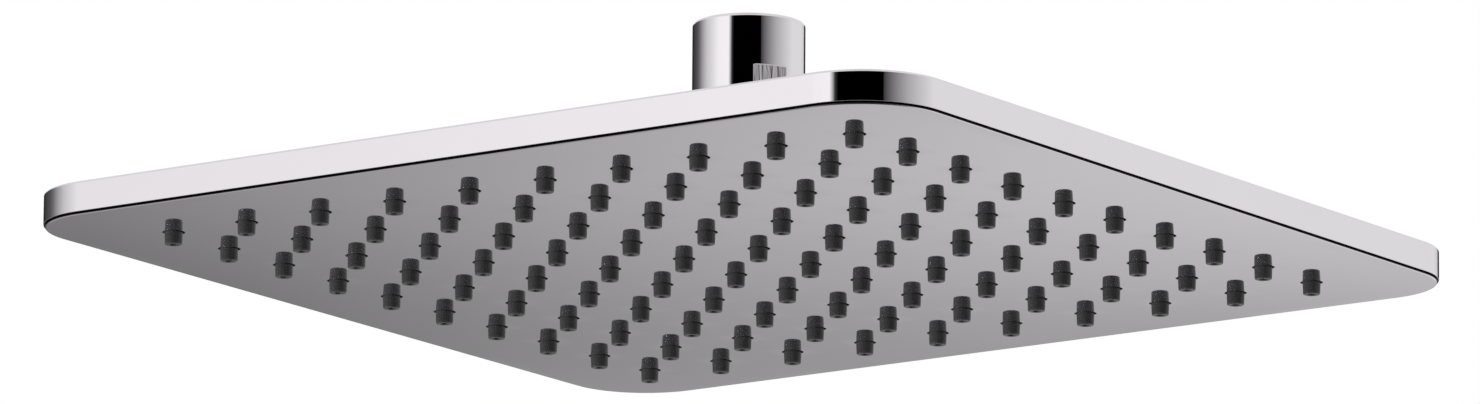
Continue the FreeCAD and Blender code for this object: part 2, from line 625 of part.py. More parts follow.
def make_rear_cover():
    # A shell with a crowned back, a skirt round the face plate and a flat seat for the nut.
    drop = "(sizes.face_lip + sizes.skirt_gap)"
    solids = []
    for name, side, radius, edge, low in (
            ("outside", "sizes.head_side", "sizes.corner_radius", "sizes.cover_edge", drop),
            ("inside", "(sizes.head_side - 2 * sizes.cover_wall)",
             "(sizes.corner_radius - sizes.cover_wall)",
             "(sizes.cover_edge - sizes.cover_wall)", f"({drop} - {OVERCUT})")):
        body = new_body(f"cover_{name}")
        outline = new_sketch(body, f"{name}_outline", height=low)
        rounded_square(outline, side, radius)
        pad(body, outline, f"{COVER_PEAK} + {OVERCUT}", name)
        hill = crowned(f"cover_{name}_hill", side, edge, "sizes.cover_crown",
                       f"(0 - {COVER_PEAK} - 2 * {OVERCUT})")
        solids.append(combine("Part::Common", f"cover_{name}_shape", body, hill))
    rim = size("sizes.cover_edge") - size("sizes.cover_round")
    rounded = doc.addObject("Part::Fillet", "cover_rounded")
    rounded.Base = solids[0]
    round_off = size("sizes.cover_round")
    rounded.Edges = [
        (number, round_off, round_off)
        for number, edge in enumerate(solids[0].Shape.Edges, 1)
        if min(vertex.Z for vertex in edge.Vertexes) > rim]
    doc.recompute()
    seat = doc.addObject("Part::Cylinder", "nut_seat")
    seat.setExpression("Radius", "sizes.seat_radius")
    seat.setExpression("Height", "sizes.seat_rise + sizes.cover_wall")
    seat.setExpression("Placement.Base.z", FLANGE_TOP)
    recess = doc.addObject("Part::Cylinder", "flange_recess")
    recess.setExpression("Radius", "sizes.flange_radius + sizes.flange_room")
    recess.setExpression("Height", f"{FLANGE_TOP}")
    hole = doc.addObject("Part::Cylinder", "socket_hole")
    hole.setExpression("Radius", THREAD_BORE)
    hole.setExpression("Height", f"{SEAT_TOP} + {OVERCUT}")
    doc.recompute()
    shell = combine("Part::Cut", "cover_shell", rounded, solids[1])
    for number, tool in enumerate((seat, recess, hole)):
        kind = "Part::Cut" if number else "Part::Fuse"
        shell = combine(kind, f"cover_step_{number}", shell, tool)
    return keep(shell, "rear_cover", FACE_PLANE)


def make_nut_washer():
    body = new_body("nut_washer")
    ring = new_sketch(body, "ring_outlines", height=SEAT_TOP)
    circle(ring, THREAD_BORE)
    circle(ring, "(sizes.nut_radius - sizes.flute_depth - sizes.washer_inset)")
    pad(body, ring, "sizes.washer_thickness", "ring")
    return keep(body, "nut_washer", FACE_PLANE)


def make_ball_nut():
    # A cap nut. Its spherical seat holds the friction ring down on the ball, and its mouth is
    # wide enough for the neck at the end of the tilt.
    body = new_body("ball_nut")
    seat = "(sizes.ring_radius + sizes.ball_clearance)"
    mouth = f"sqrt({seat}^2 - sizes.nut_mouth^2)"
    turned(body, "cap", [
        (THREAD_BORE, NUT_BASE),
        ("sizes.nut_radius", NUT_BASE),
        ("sizes.nut_radius", "(sizes.nut_top - sizes.nut_bevel)"),
        ("(sizes.nut_radius - sizes.nut_bevel)", "sizes.nut_top"),
        ("sizes.nut_mouth", "sizes.nut_top"),
        ("sizes.nut_mouth", mouth, seat),
        (seat, "0"),
        (THREAD_BORE, "0")])
    reach = "(sizes.nut_radius + sizes.flute_radius - sizes.flute_depth)"
    flute = new_sketch(body, "flute_outline", height=f"{NUT_BASE} + sizes.flute_band")
    circle(flute, "sizes.flute_radius", reach, "0")
    length = f"sizes.nut_top - sizes.nut_bevel - {NUT_BASE} - 2 * sizes.flute_band"
    cut = pocket(body, flute, length, "flute")
    around(body, [cut], flute, "flutes", "sizes.flute_count")
    return keep(body, "ball_nut", BALL_CENTRE)


def make_ball_seal():
    body = new_body("ball_seal")
    side = "(sizes.socket_bore - sizes.ball_clearance)"
    turned(body, "section", [
        (side, "(0 - sizes.seal_low)"),
        (side, "(0 - sizes.seal_high)"),
        (f"sqrt({BALL_SEAT}^2 - sizes.seal_high^2)", "(0 - sizes.seal_high)", BALL_SEAT),
        (f"sqrt({BALL_SEAT}^2 - sizes.seal_low^2)", "(0 - sizes.seal_low)")])
    return keep(body, "ball_seal", BALL_CENTRE)


def make_friction_ring():
    # Both faces are centred on the ball, so the ring can tilt on the ball and in the nut.
    body = new_body("friction_ring")
    turned(body, "section", [
        ("sqrt(sizes.ring_radius^2 - sizes.ring_low^2)", "sizes.ring_low", "sizes.ring_radius"),
        ("sqrt(sizes.ring_radius^2 - sizes.ring_high^2)", "sizes.ring_high"),
        (f"sqrt({BALL_SEAT}^2 - sizes.ring_high^2)", "sizes.ring_high", BALL_SEAT),
        (f"sqrt({BALL_SEAT}^2 - sizes.ring_low^2)", "sizes.ring_low")])
    return keep(body, "friction_ring", BALL_CENTRE)


def make_swivel_connector():
    # One brass turning: the threaded cup for the pipe, the neck and the ball, drilled through.
    body = new_body("swivel_connector")
    end_round = "sizes.connector_round"
    turned(body, "turning", [
        ("sizes.waterway_radius", "(0 - sizes.ball_flat)"),
        ("sqrt(sizes.ball_radius^2 - sizes.ball_flat^2)", "(0 - sizes.ball_flat)",
         "sizes.ball_radius"),
        ("sizes.neck_radius", "sqrt(sizes.ball_radius^2 - sizes.neck_radius^2)"),
        ("sizes.neck_radius", "sizes.connector_foot"),
        (f"(sizes.connector_radius - {end_round})", "sizes.connector_foot"),
        ("sizes.connector_radius", f"(sizes.connector_foot + {end_round})"),
        ("sizes.connector_radius", f"({MOUTH} - {end_round})"),
        (f"(sizes.connector_radius - {end_round})", MOUTH),
        ("sizes.thread_radius", MOUTH),
        ("sizes.thread_radius", THREAD_END),
        ("sizes.recess_radius", THREAD_END),
        ("sizes.recess_radius", LEDGE),
        ("sizes.pocket_radius", LEDGE),
        ("sizes.pocket_radius", f"({LEDGE} - sizes.pocket_depth)"),
        ("sizes.waterway_radius", f"({LEDGE} - sizes.pocket_depth)")])
    flats = new_sketch(body, "flat_outlines", height="sizes.connector_foot")
    beyond = f"(sizes.connector_radius + {OVERCUT})"
    rectangle(flats, "(sizes.flat_width / 2)", beyond, f"(0 - {beyond})", beyond)
    rectangle(flats, f"(0 - {beyond})", "(0 - sizes.flat_width / 2)", f"(0 - {beyond})", beyond)
    pocket(body, flats, "sizes.flat_height", "flats")
    return keep(body, "swivel_connector", BALL_CENTRE, -size("sizes.flat_turn"))


def make_flow_regulator():
    body = new_body("flow_regulator")
    side = "(sizes.pocket_radius - sizes.regulator_clearance)"
    base = f"({LEDGE} - sizes.pocket_depth)"
    middle = f"({LEDGE} - sizes.pocket_depth / 2)"
    turned(body, "disc", [
        ("0", base),
        (side, base),
        (side, f"({middle} - sizes.groove_width / 2)"),
        ("sizes.groove_radius", f"({middle} - sizes.groove_width / 2)"),
        ("sizes.groove_radius", f"({middle} + sizes.groove_width / 2)"),
        (side, f"({middle} + sizes.groove_width / 2)"),
        (side, LEDGE),
        ("0", LEDGE)])
    hole = new_sketch(body, "hole_outline", height=f"{base} - {OVERCUT}")
    circle(hole, "sizes.regulator_hole", "sizes.regulator_circle", "0")
    cut = pocket(body, hole, f"sizes.pocket_depth + 2 * {OVERCUT}", "hole")
    around(body, [cut], hole, "holes", "4")
    return keep(body, "flow_regulator", BALL_CENTRE)


def make_regulator_o_ring():
    # The round section is drawn with eight sides, each tangent to it.
    body = new_body("regulator_o_ring")
    near = "tan(22.5 deg)"
    sides = [("1", f"(0 - {near})"), ("1", near), (near, "1"), (f"(0 - {near})", "1"),
             ("(0 - 1)", near), ("(0 - 1)", f"(0 - {near})"), (f"(0 - {near})", "(0 - 1)"),
             (near, "(0 - 1)")]
    middle = f"({LEDGE} - sizes.pocket_depth / 2)"
    turned(body, "section", [
        (f"(sizes.groove_radius + sizes.o_ring_radius * (1 + {across}))",
         f"({middle} + sizes.o_ring_radius * {up})")
        for across, up in sides])
    return keep(body, "regulator_o_ring", BALL_CENTRE)


def make_filter_screen():
    # A disc with a grid of square openings inside its plain rim.
    body = new_body("filter_screen")
    disc = new_sketch(body, "disc_outline", height=LEDGE)
    circle(disc, "(sizes.recess_radius - sizes.washer_clearance)")
    pad(body, disc, "sizes.screen_thickness", "disc")
    hole = new_sketch(body, "opening_outline", height=LEDGE)
    corner = "(0 - sizes.screen_pitch)"
    rectangle(hole, f"({corner} - sizes.screen_hole / 2)", f"({corner} + sizes.screen_hole / 2)",
              f"({corner} - sizes.screen_hole / 2)", f"({corner} + sizes.screen_hole / 2)")
    cut = pocket(body, hole, "sizes.screen_thickness", "opening")
    grid(body, cut, hole, "openings", "sizes.screen_pitch", "3")
    return keep(body, "filter_screen", BALL_CENTRE)


def make_inlet_washer():
    body = new_body("inlet_washer")
    ring = new_sketch(body, "ring_outlines", height=f"{LEDGE} + sizes.screen_thickness")
    circle(ring, "sizes.inlet_washer_bore")
    circle(ring, "(sizes.recess_radius - sizes.washer_clearance)")
    pad(body, ring, "sizes.inlet_washer_height", "ring")
    return keep(body, "inlet_washer", BALL_CENTRE)


make_face_plate()
make_nozzle_mat()
make_chamber_seal()
make_chamber_plate()
make_screws()
make_socket_gasket()
make_ball_socket()
make_rear_cover()
make_nut_washer()
make_ball_nut()
make_ball_seal()
make_friction_ring()
make_swivel_connector()
make_flow_regulator()
make_regulator_o_ring()
make_filter_screen()
make_inlet_washer()

doc.recompute()
for item in doc.Objects:
    if "Invalid" in item.State or "Error" in item.State:
        raise ValueError(f"{item.Name} failed: {item.State}")
for piece in parts:
    shape = piece.Shape
    if shape.isNull() or not shape.isValid() or len(shape.Solids) != 1:
        raise ValueError(f"{piece.Label} is not one valid solid")

os.makedirs("parts", exist_ok=True)
for piece in parts:
    piece.Shape.exportStep(f"parts/{piece.Label}.step")
    box = piece.Shape.BoundBox
    print(f"{piece.Label}: {piece.Shape.Volume:.1f} mm3, z {box.ZMin:.2f} to {box.ZMax:.2f}")
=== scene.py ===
import json
import math
import bpy
import numpy as np
from mathutils import Matrix, Vector


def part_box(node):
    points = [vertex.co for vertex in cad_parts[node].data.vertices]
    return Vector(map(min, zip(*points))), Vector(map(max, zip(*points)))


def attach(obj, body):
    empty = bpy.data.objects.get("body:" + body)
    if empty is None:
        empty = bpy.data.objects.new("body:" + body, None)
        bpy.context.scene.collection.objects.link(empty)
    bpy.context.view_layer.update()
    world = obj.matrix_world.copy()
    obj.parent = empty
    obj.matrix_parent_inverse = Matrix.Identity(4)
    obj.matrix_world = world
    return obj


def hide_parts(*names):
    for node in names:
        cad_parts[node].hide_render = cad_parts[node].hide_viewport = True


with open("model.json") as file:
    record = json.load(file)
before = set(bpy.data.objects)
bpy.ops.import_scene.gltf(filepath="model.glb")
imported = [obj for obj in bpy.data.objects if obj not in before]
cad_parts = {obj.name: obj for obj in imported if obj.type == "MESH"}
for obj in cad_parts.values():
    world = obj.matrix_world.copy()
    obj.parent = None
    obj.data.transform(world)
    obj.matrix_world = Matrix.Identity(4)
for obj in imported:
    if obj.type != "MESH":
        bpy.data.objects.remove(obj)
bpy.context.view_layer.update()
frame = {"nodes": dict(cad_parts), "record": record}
print("frame loaded,", len(frame["nodes"]), "pieces")

mm = 0.001


# Heights and sizes that the pieces share, read from the frame.
coverLow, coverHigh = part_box("rear_cover")
plateLow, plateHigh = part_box("face_plate")
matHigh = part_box("nozzle_mat")[1]
nutLow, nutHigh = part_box("ball_nut")
connectorLow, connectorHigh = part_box("swivel_connector")

head = {
    "side": coverHigh.x - coverLow.x,
    "cornerRadius": 20.5 * mm,
    "crown": 1.2 * mm,
    "pitch": 21.6 * mm,
    "rows": 10,
}
head["faceEdge"] = plateLow.z + head["crown"]
head["innerFace"] = plateHigh.z

# The two spanner flats on the connector, and the marks that the cutter left on them.
spannerFlats = {
    "turn": -32,
    "depth": 12.8 * mm,
    "top": connectorHigh.z - 12.7 * mm,
    "halfWidth": 4.2 * mm,
    "markStretch": (1, 900, 90),
    "markDepth": 0.7 * mm,
    "markStrength": 0.35,
}


# Mesh building. A skin collects patches of points with their own normals, and welds them.

weldScale = 1e7  # points are told apart to a ten-thousandth of a millimetre


def newSkin():
    return {"points": [], "normals": [], "faces": [], "inside": [], "count": 0}


def addPatch(skin, points, normals, closed=False, inside=0.0):
    # points and normals are rows by columns by 3; closed joins the last column to the first.
    # inside marks where shade is painted: hidden and recessed surfaces, which the material paints dark and
    # rough.
    points = np.asarray(points, float)
    normals = np.broadcast_to(np.asarray(normals, float), points.shape)
    rows, columns = points.shape[:2]
    across = np.arange(columns if closed else columns - 1)
    nextOne = (across + 1) % columns
    base = skin["count"] + np.arange(rows - 1)[:, None] * columns
    quads = np.stack([base + across, base + nextOne, base + columns + nextOne, base + columns + across], -1)
    skin["points"].append(points.reshape(-1, 3))
    skin["normals"].append(normals.reshape(-1, 3))
    skin["faces"].append(quads.reshape(-1, 4))
    skin["inside"].append(np.full(rows * columns, inside))
    skin["count"] += rows * columns


def skinObject(skin, name):
    # Welds the patches into one mesh.
    points = np.concatenate(skin["points"])
    normals = np.concatenate(skin["normals"])
    faces = np.concatenate(skin["faces"])
    # Each face is turned to the side that its normals are on.
    facing = np.cross(points[faces[:, 2]] - points[faces[:, 0]], points[faces[:, 3]] - points[faces[:, 1]])
    inward = np.einsum("ij,ij->i", facing, normals[faces].sum(axis=1)) < 0
    faces[inward] = faces[inward][:, ::-1]
    unused, first, index = np.unique(
        np.round(points * weldScale).astype(np.int64), axis=0, return_index=True, return_inverse=True)
    corners = index.reshape(-1)[faces]
    outline = []
    shading = []
    for face, source in zip(corners, faces):
        kept = [k for k in range(4) if face[k] != face[k - 1]]
        if len(kept) < 3:
            continue
        outline.append([face[k] for k in kept])
        shading.extend(source[k] for k in kept)
    mesh = bpy.data.meshes.new(name)
    mesh.from_pydata(points[first].tolist(), [], outline)
    mesh.polygons.foreach_set("use_smooth", [True] * len(mesh.polygons))
    cornerNormals = normals[shading]
    lengths = np.linalg.norm(cornerNormals, axis=1, keepdims=True)
    mesh.normals_split_custom_set((cornerNormals / lengths).tolist())
    # The inside attribute carries the painted shade to each corner.
    layer = mesh.attributes.new("inside", "FLOAT", "CORNER")
    layer.data.foreach_set("value", np.concatenate(skin["inside"])[shading])
    thing = bpy.data.objects.new(name, mesh)
    bpy.context.scene.collection.objects.link(thing)
    return thing


def raised(flat, height):
    # Adds a height, or a height for each point, to flat points or directions.
    return np.concatenate([flat, np.broadcast_to(height, (*flat.shape[:-1], 1))], -1)


def turnedPatch(skin, rows, angles, closed=True, spot=(0, 0)):
    # Turns a section's rows of (radius, height, normalOut, normalUp) about the upright line at
    # spot. A row's values may change with the angle.
    points = np.zeros((len(rows), len(angles), 3))
    normals = np.zeros_like(points)
    for step, (radius, height, out, up) in enumerate(rows):
        points[step] = np.stack(np.broadcast_arrays(
            radius * np.cos(angles) + spot[0], radius * np.sin(angles) + spot[1], height), -1)
        normals[step] = np.stack(np.broadcast_arrays(
            out * np.cos(angles), out * np.sin(angles), up), -1)
    addPatch(skin, points, normals, closed=closed)


def lineRows(*corners):
    # Rows along a straight run of the section, its inside on the left.
    rows = []
    for step in range(len(corners)):
        first = corners[max(step - 1, 0)]
        last = corners[step if step else 1]
        out, up = last[1] - first[1], first[0] - last[0]
        length = math.hypot(out, up)
        rows.append((*corners[step], out / length, up / length))
    return rows


def arcRows(middle, radius, start, end, steps=6, hollow=False):
    # Rows along a rounding, by its angle in degrees from outward towards up.
    rows = []
    for angle in np.radians(np.linspace(start, end, steps + 1)):
        out, up = math.cos(angle), math.sin(angle)
        facing = -1 if hollow else 1
        rows.append((middle[0] + radius * out, middle[1] + radius * up, facing * out, facing * up))
    return rows


def quarterTurn(quarter):
    turn = quarter * math.pi / 2
    return np.array([[math.cos(turn), -math.sin(turn)], [math.sin(turn), math.cos(turn)]])


def roundedSquare(side, radius, perSide, perCorner):
    # Points and outward normals round a square with round corners, counterclockwise.
    points = []
    normals = []
    reach = side / 2 - radius
    for quarter in range(4):
        turn = quarterTurn(quarter)
        for step in range(perSide):
            share = step / perSide
            points.append(turn @ np.array([side / 2, -reach + 2 * reach * share]))
            normals.append(turn @ np.array([1.0, 0.0]))
        for step in range(perCorner):
            angle = math.pi / 2 * step / perCorner
            direction = np.array([math.cos(angle), math.sin(angle)])
            points.append(turn @ (np.array([reach, reach]) + radius * direction))
            normals.append(turn @ direction)
    return np.array(points), np.array(normals)


def squareRing(half, segments):
    # Points along a sharp square's outline, from its corner on the diagonal.
    perSide = segments // 4
    points = []
    for quarter in range(4):
        for step in range(perSide):
            points.append(quarterTurn(quarter) @ np.array([half - 2 * half * step / perSide, half]))
    return np.array(points)


def ringAngles(segments):
    # The first direction is the diagonal, as for the square.
    return math.pi / 4 + np.arange(segments) * 2 * math.pi / segments


def ringPoints(radius, segments):
    angles = ringAngles(segments)
    return radius * np.stack([np.cos(angles), np.sin(angles)], -1)


def nozzleSpots():
    offsets = (np.arange(head["rows"]) - (head["rows"] - 1) / 2) * head["pitch"]
    return [(x, y) for x in offsets for y in offsets]


def cellRings(radius, segments):
    # From a nozzle's circle to the square cell round it.
    inner = ringPoints(radius, segments)
    outer = squareRing(head["pitch"] / 2, segments)
    return np.array([inner, inner * 0.55 + outer * 0.45, outer])


def fieldRing(segments):
    # The square round all the cells, with as many points on each cell as its circle has.
    return squareRing(head["pitch"] * head["rows"] / 2, segments * head["rows"])


def bulge(points, edge, crown, half, facing):
    # Lifts flat points onto a doubly curved sheet, and gives its normals.
    x, y = points[..., 0], points[..., 1]
    across, up = 1 - (x / half) ** 2, 1 - (y / half) ** 2
    height = edge + crown * across * up
    slopeX = -2 * crown * x / half ** 2 * up
    slopeY = -2 * crown * y / half ** 2 * across
    normals = np.stack([-slopeX, -slopeY, np.ones_like(x)], -1) * facing
    normals /= np.linalg.norm(normals, axis=-1, keepdims=True)
    return np.stack([x, y, height], -1), normals


def onFace(flat):
    return bulge(flat, head["faceEdge"], -head["crown"], head["side"] / 2, -1)


# Materials. Effects that several finishes use are node groups.

def feed(tree, node, inputs):
    # Sets a node's inputs to values, or links them to the sockets that give them.
    for label, value in inputs.items():
        if isinstance(value, bpy.types.NodeSocket):
            tree.links.new(value, node.inputs[label])
        else:
            node.inputs[label].default_value = value


def addNode(tree, kind, inputs, **settings):
    # The settings, such as a math node's operation, are set before the inputs.
    node = tree.nodes.new("ShaderNode" + kind)
    for setting, value in settings.items():
        setattr(node, setting, value)
    feed(tree, node, inputs)
    return node


def calculate(tree, operation, *values):
    return addNode(tree, "Math", dict(enumerate(values)), operation=operation).outputs[0]


def mixColors(tree, factor, first, second, blend="MIX"):
    # The node's sockets 6 and 7 are its two colours, and 2 is the mixed one.
    mix = addNode(tree, "Mix", {"Factor": factor, 6: first, 7: second}, data_type="RGBA", blend_type=blend)
    return mix.outputs[2]


def nodeGroup(name, inputs, outputs):
    # Makes an empty group, and gives it with what it is given and what it puts out.
    group = bpy.data.node_groups.new(name, "ShaderNodeTree")
    for label, kind, default in inputs:
        socket = group.interface.new_socket(label, in_out="INPUT", socket_type=kind)
        socket.default_value = default
    for label, kind in outputs:
        group.interface.new_socket(label, in_out="OUTPUT", socket_type=kind)
    return group, group.nodes.new("NodeGroupInput").outputs, group.nodes.new("NodeGroupOutput")


def makePlatingGroup():
    # Polishing haze, faint wiping marks and the slow waviness of plated parts.
    group, given, result = nodeGroup(
        "platingFinish",
        [("Base Roughness", "NodeSocketFloat", 0.04), ("Haze", "NodeSocketFloat", 0.03),
         ("Wave Size", "NodeSocketFloat", 12.0), ("Wave Depth", "NodeSocketFloat", 0.02)],
        [("Roughness", "NodeSocketFloat"), ("Normal", "NodeSocketVector"), ("Tint", "NodeSocketColor")])
    place = addNode(group, "TexCoord", {}).outputs["Object"]
    haze = addNode(group, "TexNoise", {"Vector": place, "Scale": 26, "Detail": 5}).outputs["Fac"]
    stretched = addNode(group, "Mapping", {
        "Vector": place, "Scale": (900, 60, 300), "Rotation": (0, 0, 0.7)}).outputs["Vector"]
    wipe = addNode(group, "TexNoise", {"Vector": stretched, "Scale": 1, "Detail": 3}).outputs["Fac"]
    blend = calculate(group, "MULTIPLY", haze, wipe)
    rough = calculate(group, "MULTIPLY_ADD", blend, given["Haze"], given["Base Roughness"])
    wave = addNode(group, "TexNoise", {
        "Vector": place, "Scale": given["Wave Size"], "Detail": 2, "Roughness": 0.4}).outputs["Fac"]
    bump = addNode(group, "Bump", {"Strength": given["Wave Depth"], "Distance": 0.001, "Height": wave})
    tint = addNode(group, "MapRange", {"Value": haze, "To Min": 0.955, "To Max": 1.0})
    feed(group, result, {
        "Roughness": rough, "Normal": bump.outputs["Normal"], "Tint": tint.outputs["Result"]})
    return group


def makeGrainGroup():
    # Fine grain and a slow change of tone, for rubber and moulded plastic.
    group, given, result = nodeGroup(
        "mouldedGrain",
        [("Color", "NodeSocketColor", (0.5, 0.5, 0.5, 1)), ("Variation", "NodeSocketFloat", 0.15),
         ("Base Roughness", "NodeSocketFloat", 0.5), ("Grain Size", "NodeSocketFloat", 4000.0),
         ("Grain Depth", "NodeSocketFloat", 0.1)],
        [("Color", "NodeSocketColor"), ("Roughness", "NodeSocketFloat"), ("Normal", "NodeSocketVector")])
    place = addNode(group, "TexCoord", {}).outputs["Object"]
    slow = addNode(group, "TexNoise", {"Vector": place, "Scale": 70, "Detail": 4}).outputs["Fac"]
    span = calculate(group, "MULTIPLY", slow, given["Variation"])
    shade = calculate(group, "MULTIPLY_ADD", span, -1, 1)
    grain = addNode(group, "TexNoise", {
        "Vector": place, "Scale": given["Grain Size"], "Detail": 2}).outputs["Fac"]
    bump = addNode(group, "Bump", {"Strength": given["Grain Depth"], "Distance": 0.0001, "Height": grain})
    feed(group, result, {
        "Color": mixColors(group, 1, given["Color"], shade, "MULTIPLY"),
        "Roughness": calculate(group, "MULTIPLY_ADD", grain, 0.16, given["Base Roughness"]),
        "Normal": bump.outputs["Normal"],
    })
    return group


platingGroup = makePlatingGroup()
grainGroup = makeGrainGroup()

# Painted shade: the dark colour and added roughness that stand in for shade on hidden and recessed surfaces.
paintedShadeFinish = {
    "color": (0.02, 0.02, 0.02),
    "blur": 0.45,
}


def newMaterial(name):
    # Gives the material with its node tree and its shader.
    material = bpy.data.materials.new(name)
    material.use_nodes = True
    return material, material.node_tree, material.node_tree.nodes["Principled BSDF"]


def platedMetal(name, color, values):
    material, tree, shader = newMaterial(name)
    finish = addNode(tree, "Group", values, node_tree=platingGroup).outputs
    # The inside attribute marks where shade is painted. There the colour is mixed to the painted shade's
    # dark colour and the roughness is raised.
    inside = addNode(tree, "Attribute", {}, attribute_name="inside").outputs["Fac"]
    tone = mixColors(tree, 1, (*color, 1), finish["Tint"], "MULTIPLY")
    feed(tree, shader, {
        "Metallic": 1,
        "Base Color": mixColors(tree, inside, tone, (*paintedShadeFinish["color"], 1)),
        "Roughness": calculate(tree, "MULTIPLY_ADD", inside, paintedShadeFinish["blur"], finish["Roughness"]),
        "Normal": finish["Normal"],
    })
    return material


def mouldedStuff(name, color, values, specular=0.5):
    material, tree, shader = newMaterial(name)
    finish = addNode(tree, "Group", {}, node_tree=grainGroup)
    feed(tree, finish, {"Color": (*color, 1), **values})
    feed(tree, shader, {
        "Specular IOR Level": specular,
        "Base Color": finish.outputs["Color"],
        "Roughness": finish.outputs["Roughness"],
        "Normal": finish.outputs["Normal"],
    })
    return material


def markFlats(material, cfg):
    # Upright cutter marks on the two spanner flats, which are found by their distance from the
    # middle.
    tree = material.node_tree
    shader = tree.nodes["Principled BSDF"]
    polished = shader.inputs["Normal"].links[0].from_socket
    place = addNode(tree, "TexCoord", {}).outputs["Object"]
    turned = addNode(tree, "Mapping", {
        "Vector": place, "Rotation": (0, 0, math.radians(-cfg["turn"]))}).outputs["Vector"]
    parts = addNode(tree, "SeparateXYZ", {"Vector": turned}).outputs
    depth = calculate(tree, "ABSOLUTE", parts["X"])
    onPlane = calculate(tree, "COMPARE", depth, cfg["depth"], 0.02 * mm)
    within = calculate(tree, "COMPARE", parts["Y"], 0, cfg["halfWidth"])
    flats = calculate(tree, "MULTIPLY", onPlane, within)
    stretched = addNode(tree, "Mapping", {"Vector": turned, "Scale": cfg["markStretch"]}).outputs["Vector"]
    marks = addNode(tree, "TexNoise", {
        "Vector": stretched, "Scale": 1, "Detail": 2, "Distortion": 0.6}).outputs["Fac"]
    cut = addNode(tree, "Bump", {
        "Strength": cfg["markStrength"], "Distance": cfg["markDepth"],
        "Height": calculate(tree, "MULTIPLY", marks, flats), "Normal": polished})
    feed(tree, shader, {"Normal": cut.outputs["Normal"]})
    return material


finishes = {
    "plated_plastic": platedMetal("chromedPlastic", (0.915, 0.88, 0.915), {
        "Base Roughness": 0.02, "Haze": 0.05, "Wave Size": 9.0, "Wave Depth": 0.03}),
    "plated_brass": markFlats(platedMetal("chromedBrass", (0.915, 0.88, 0.915), {
        "Base Roughness": 0.02, "Haze": 0.05, "Wave Size": 60.0, "Wave Depth": 0.02}), spannerFlats),
    "bare_brass": platedMetal("turnedBrass", (0.78, 0.58, 0.28), {
        "Base Roughness": 0.22, "Haze": 0.2, "Wave Size": 80.0, "Wave Depth": 0.05}),
    "stainless": platedMetal("stainlessSteel", (0.62, 0.61, 0.6), {
        "Base Roughness": 0.25, "Haze": 0.2, "Wave Size": 80.0, "Wave Depth": 0.05}),
    "nozzle_rubber": mouldedStuff("nozzleRubber", (0.0095, 0.0093, 0.0098), {
        "Variation": 0.3, "Base Roughness": 0.2, "Grain Size": 5000.0, "Grain Depth": 0.04}, 0.85),
    "seal_rubber": mouldedStuff("sealRubber", (0.02, 0.02, 0.021), {
        "Variation": 0.3, "Base Roughness": 0.4, "Grain Size": 4000.0, "Grain Depth": 0.2}, 0.4),
    "moulded_plastic": mouldedStuff("mouldedPlastic", (0.6, 0.6, 0.59), {
        "Variation": 0.06, "Base Roughness": 0.45, "Grain Size": 3000.0, "Grain Depth": 0.2}),
    "bearing_plastic": mouldedStuff("bearingPlastic", (0.8, 0.8, 0.77), {
        "Variation": 0.05, "Base Roughness": 0.3, "Grain Size": 3000.0, "Grain Depth": 0.1}),
}
slotOfNode = {entry["node"]: entry["material_slot"] for entry in frame["record"]["subparts"]}


def dress(thing, node, replace=True):
    # Gives a piece the node's finish, sets it on the node's body and lets it stand for the node.
    slotName = slotOfNode[node]
    thing.data.materials.clear()
    thing.data.materials.append(finishes[slotName])
    if replace:
        body = [name for name, nodes in frame["record"]["behaviour"]["bodies"].items() if node in nodes][0]
        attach(thing, body)
        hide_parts(node)


for nodeName, thing in frame["nodes"].items():
    dress(thing, nodeName, replace=False)
print("finishes made")


# Face plate

facePlate = {
    "inset": 0.4 * mm,
    "lip": 0.4 * mm,
    "lipRound": 0.44 * mm,
    "lipTurn": math.radians(78),
    "paintedShadeRow": 4,
    "stepInset": 2.15 * mm,
    "holeRadius": 2.4 * mm,
    "holeRound": 0.35 * mm,
    "holeSegments": 32,
    "cornerSteps": 24,
}


def addPlateHole(skin, cfg, spot):
    # The bulged face round one hole, the hole's rounded edge, its wall and the flat back.
    segments = cfg["holeSegments"]
    ring = ringPoints(1.0, segments)
    rimRadius = cfg["holeRadius"] + cfg["holeRound"]
    face, faceNormals = onFace(cellRings(rimRadius, segments) + spot)
    addPatch(skin, face, faceNormals, closed=True)
    # The rounded edge, the hole's wall and the flat back are painted dark, as painted shade.
    curl = []
    curlNormals = []
    for angle in np.linspace(0, math.pi / 2, 6):
        reach = rimRadius - cfg["holeRound"] * math.sin(angle)
        lift = face[0][:, 2:] + cfg["holeRound"] * (1 - math.cos(angle))
        curl.append(raised(ring * reach + spot, lift))
        curlNormals.append(raised(-ring * math.sin(angle), -math.cos(angle)))
    addPatch(skin, curl, curlNormals, closed=True, inside=1)
    wall = [curl[-1], raised(curl[-1][:, :2], head["innerFace"])]
    addPatch(skin, wall, raised(-ring, 0), closed=True, inside=1)
    back = cellRings(cfg["holeRadius"], segments) + spot
    addPatch(skin, raised(back, head["innerFace"]), (0, 0, 1), closed=True, inside=1)


def plateOutline(cfg, inset):
    # The plate's outline, drawn in by inset, with a point for each one of the field's ring.
    sideSteps = cfg["holeSegments"] * head["rows"] // 4 - cfg["cornerSteps"]
    side = head["side"] - 2 * cfg["inset"]
    radius = head["cornerRadius"] - cfg["inset"]
    points, normals = roundedSquare(side - 2 * inset, radius - inset, sideSteps, cfg["cornerSteps"])
    shift = sideSteps + cfg["cornerSteps"] // 2
    return np.roll(points, -shift, axis=0), np.roll(normals, -shift, axis=0)


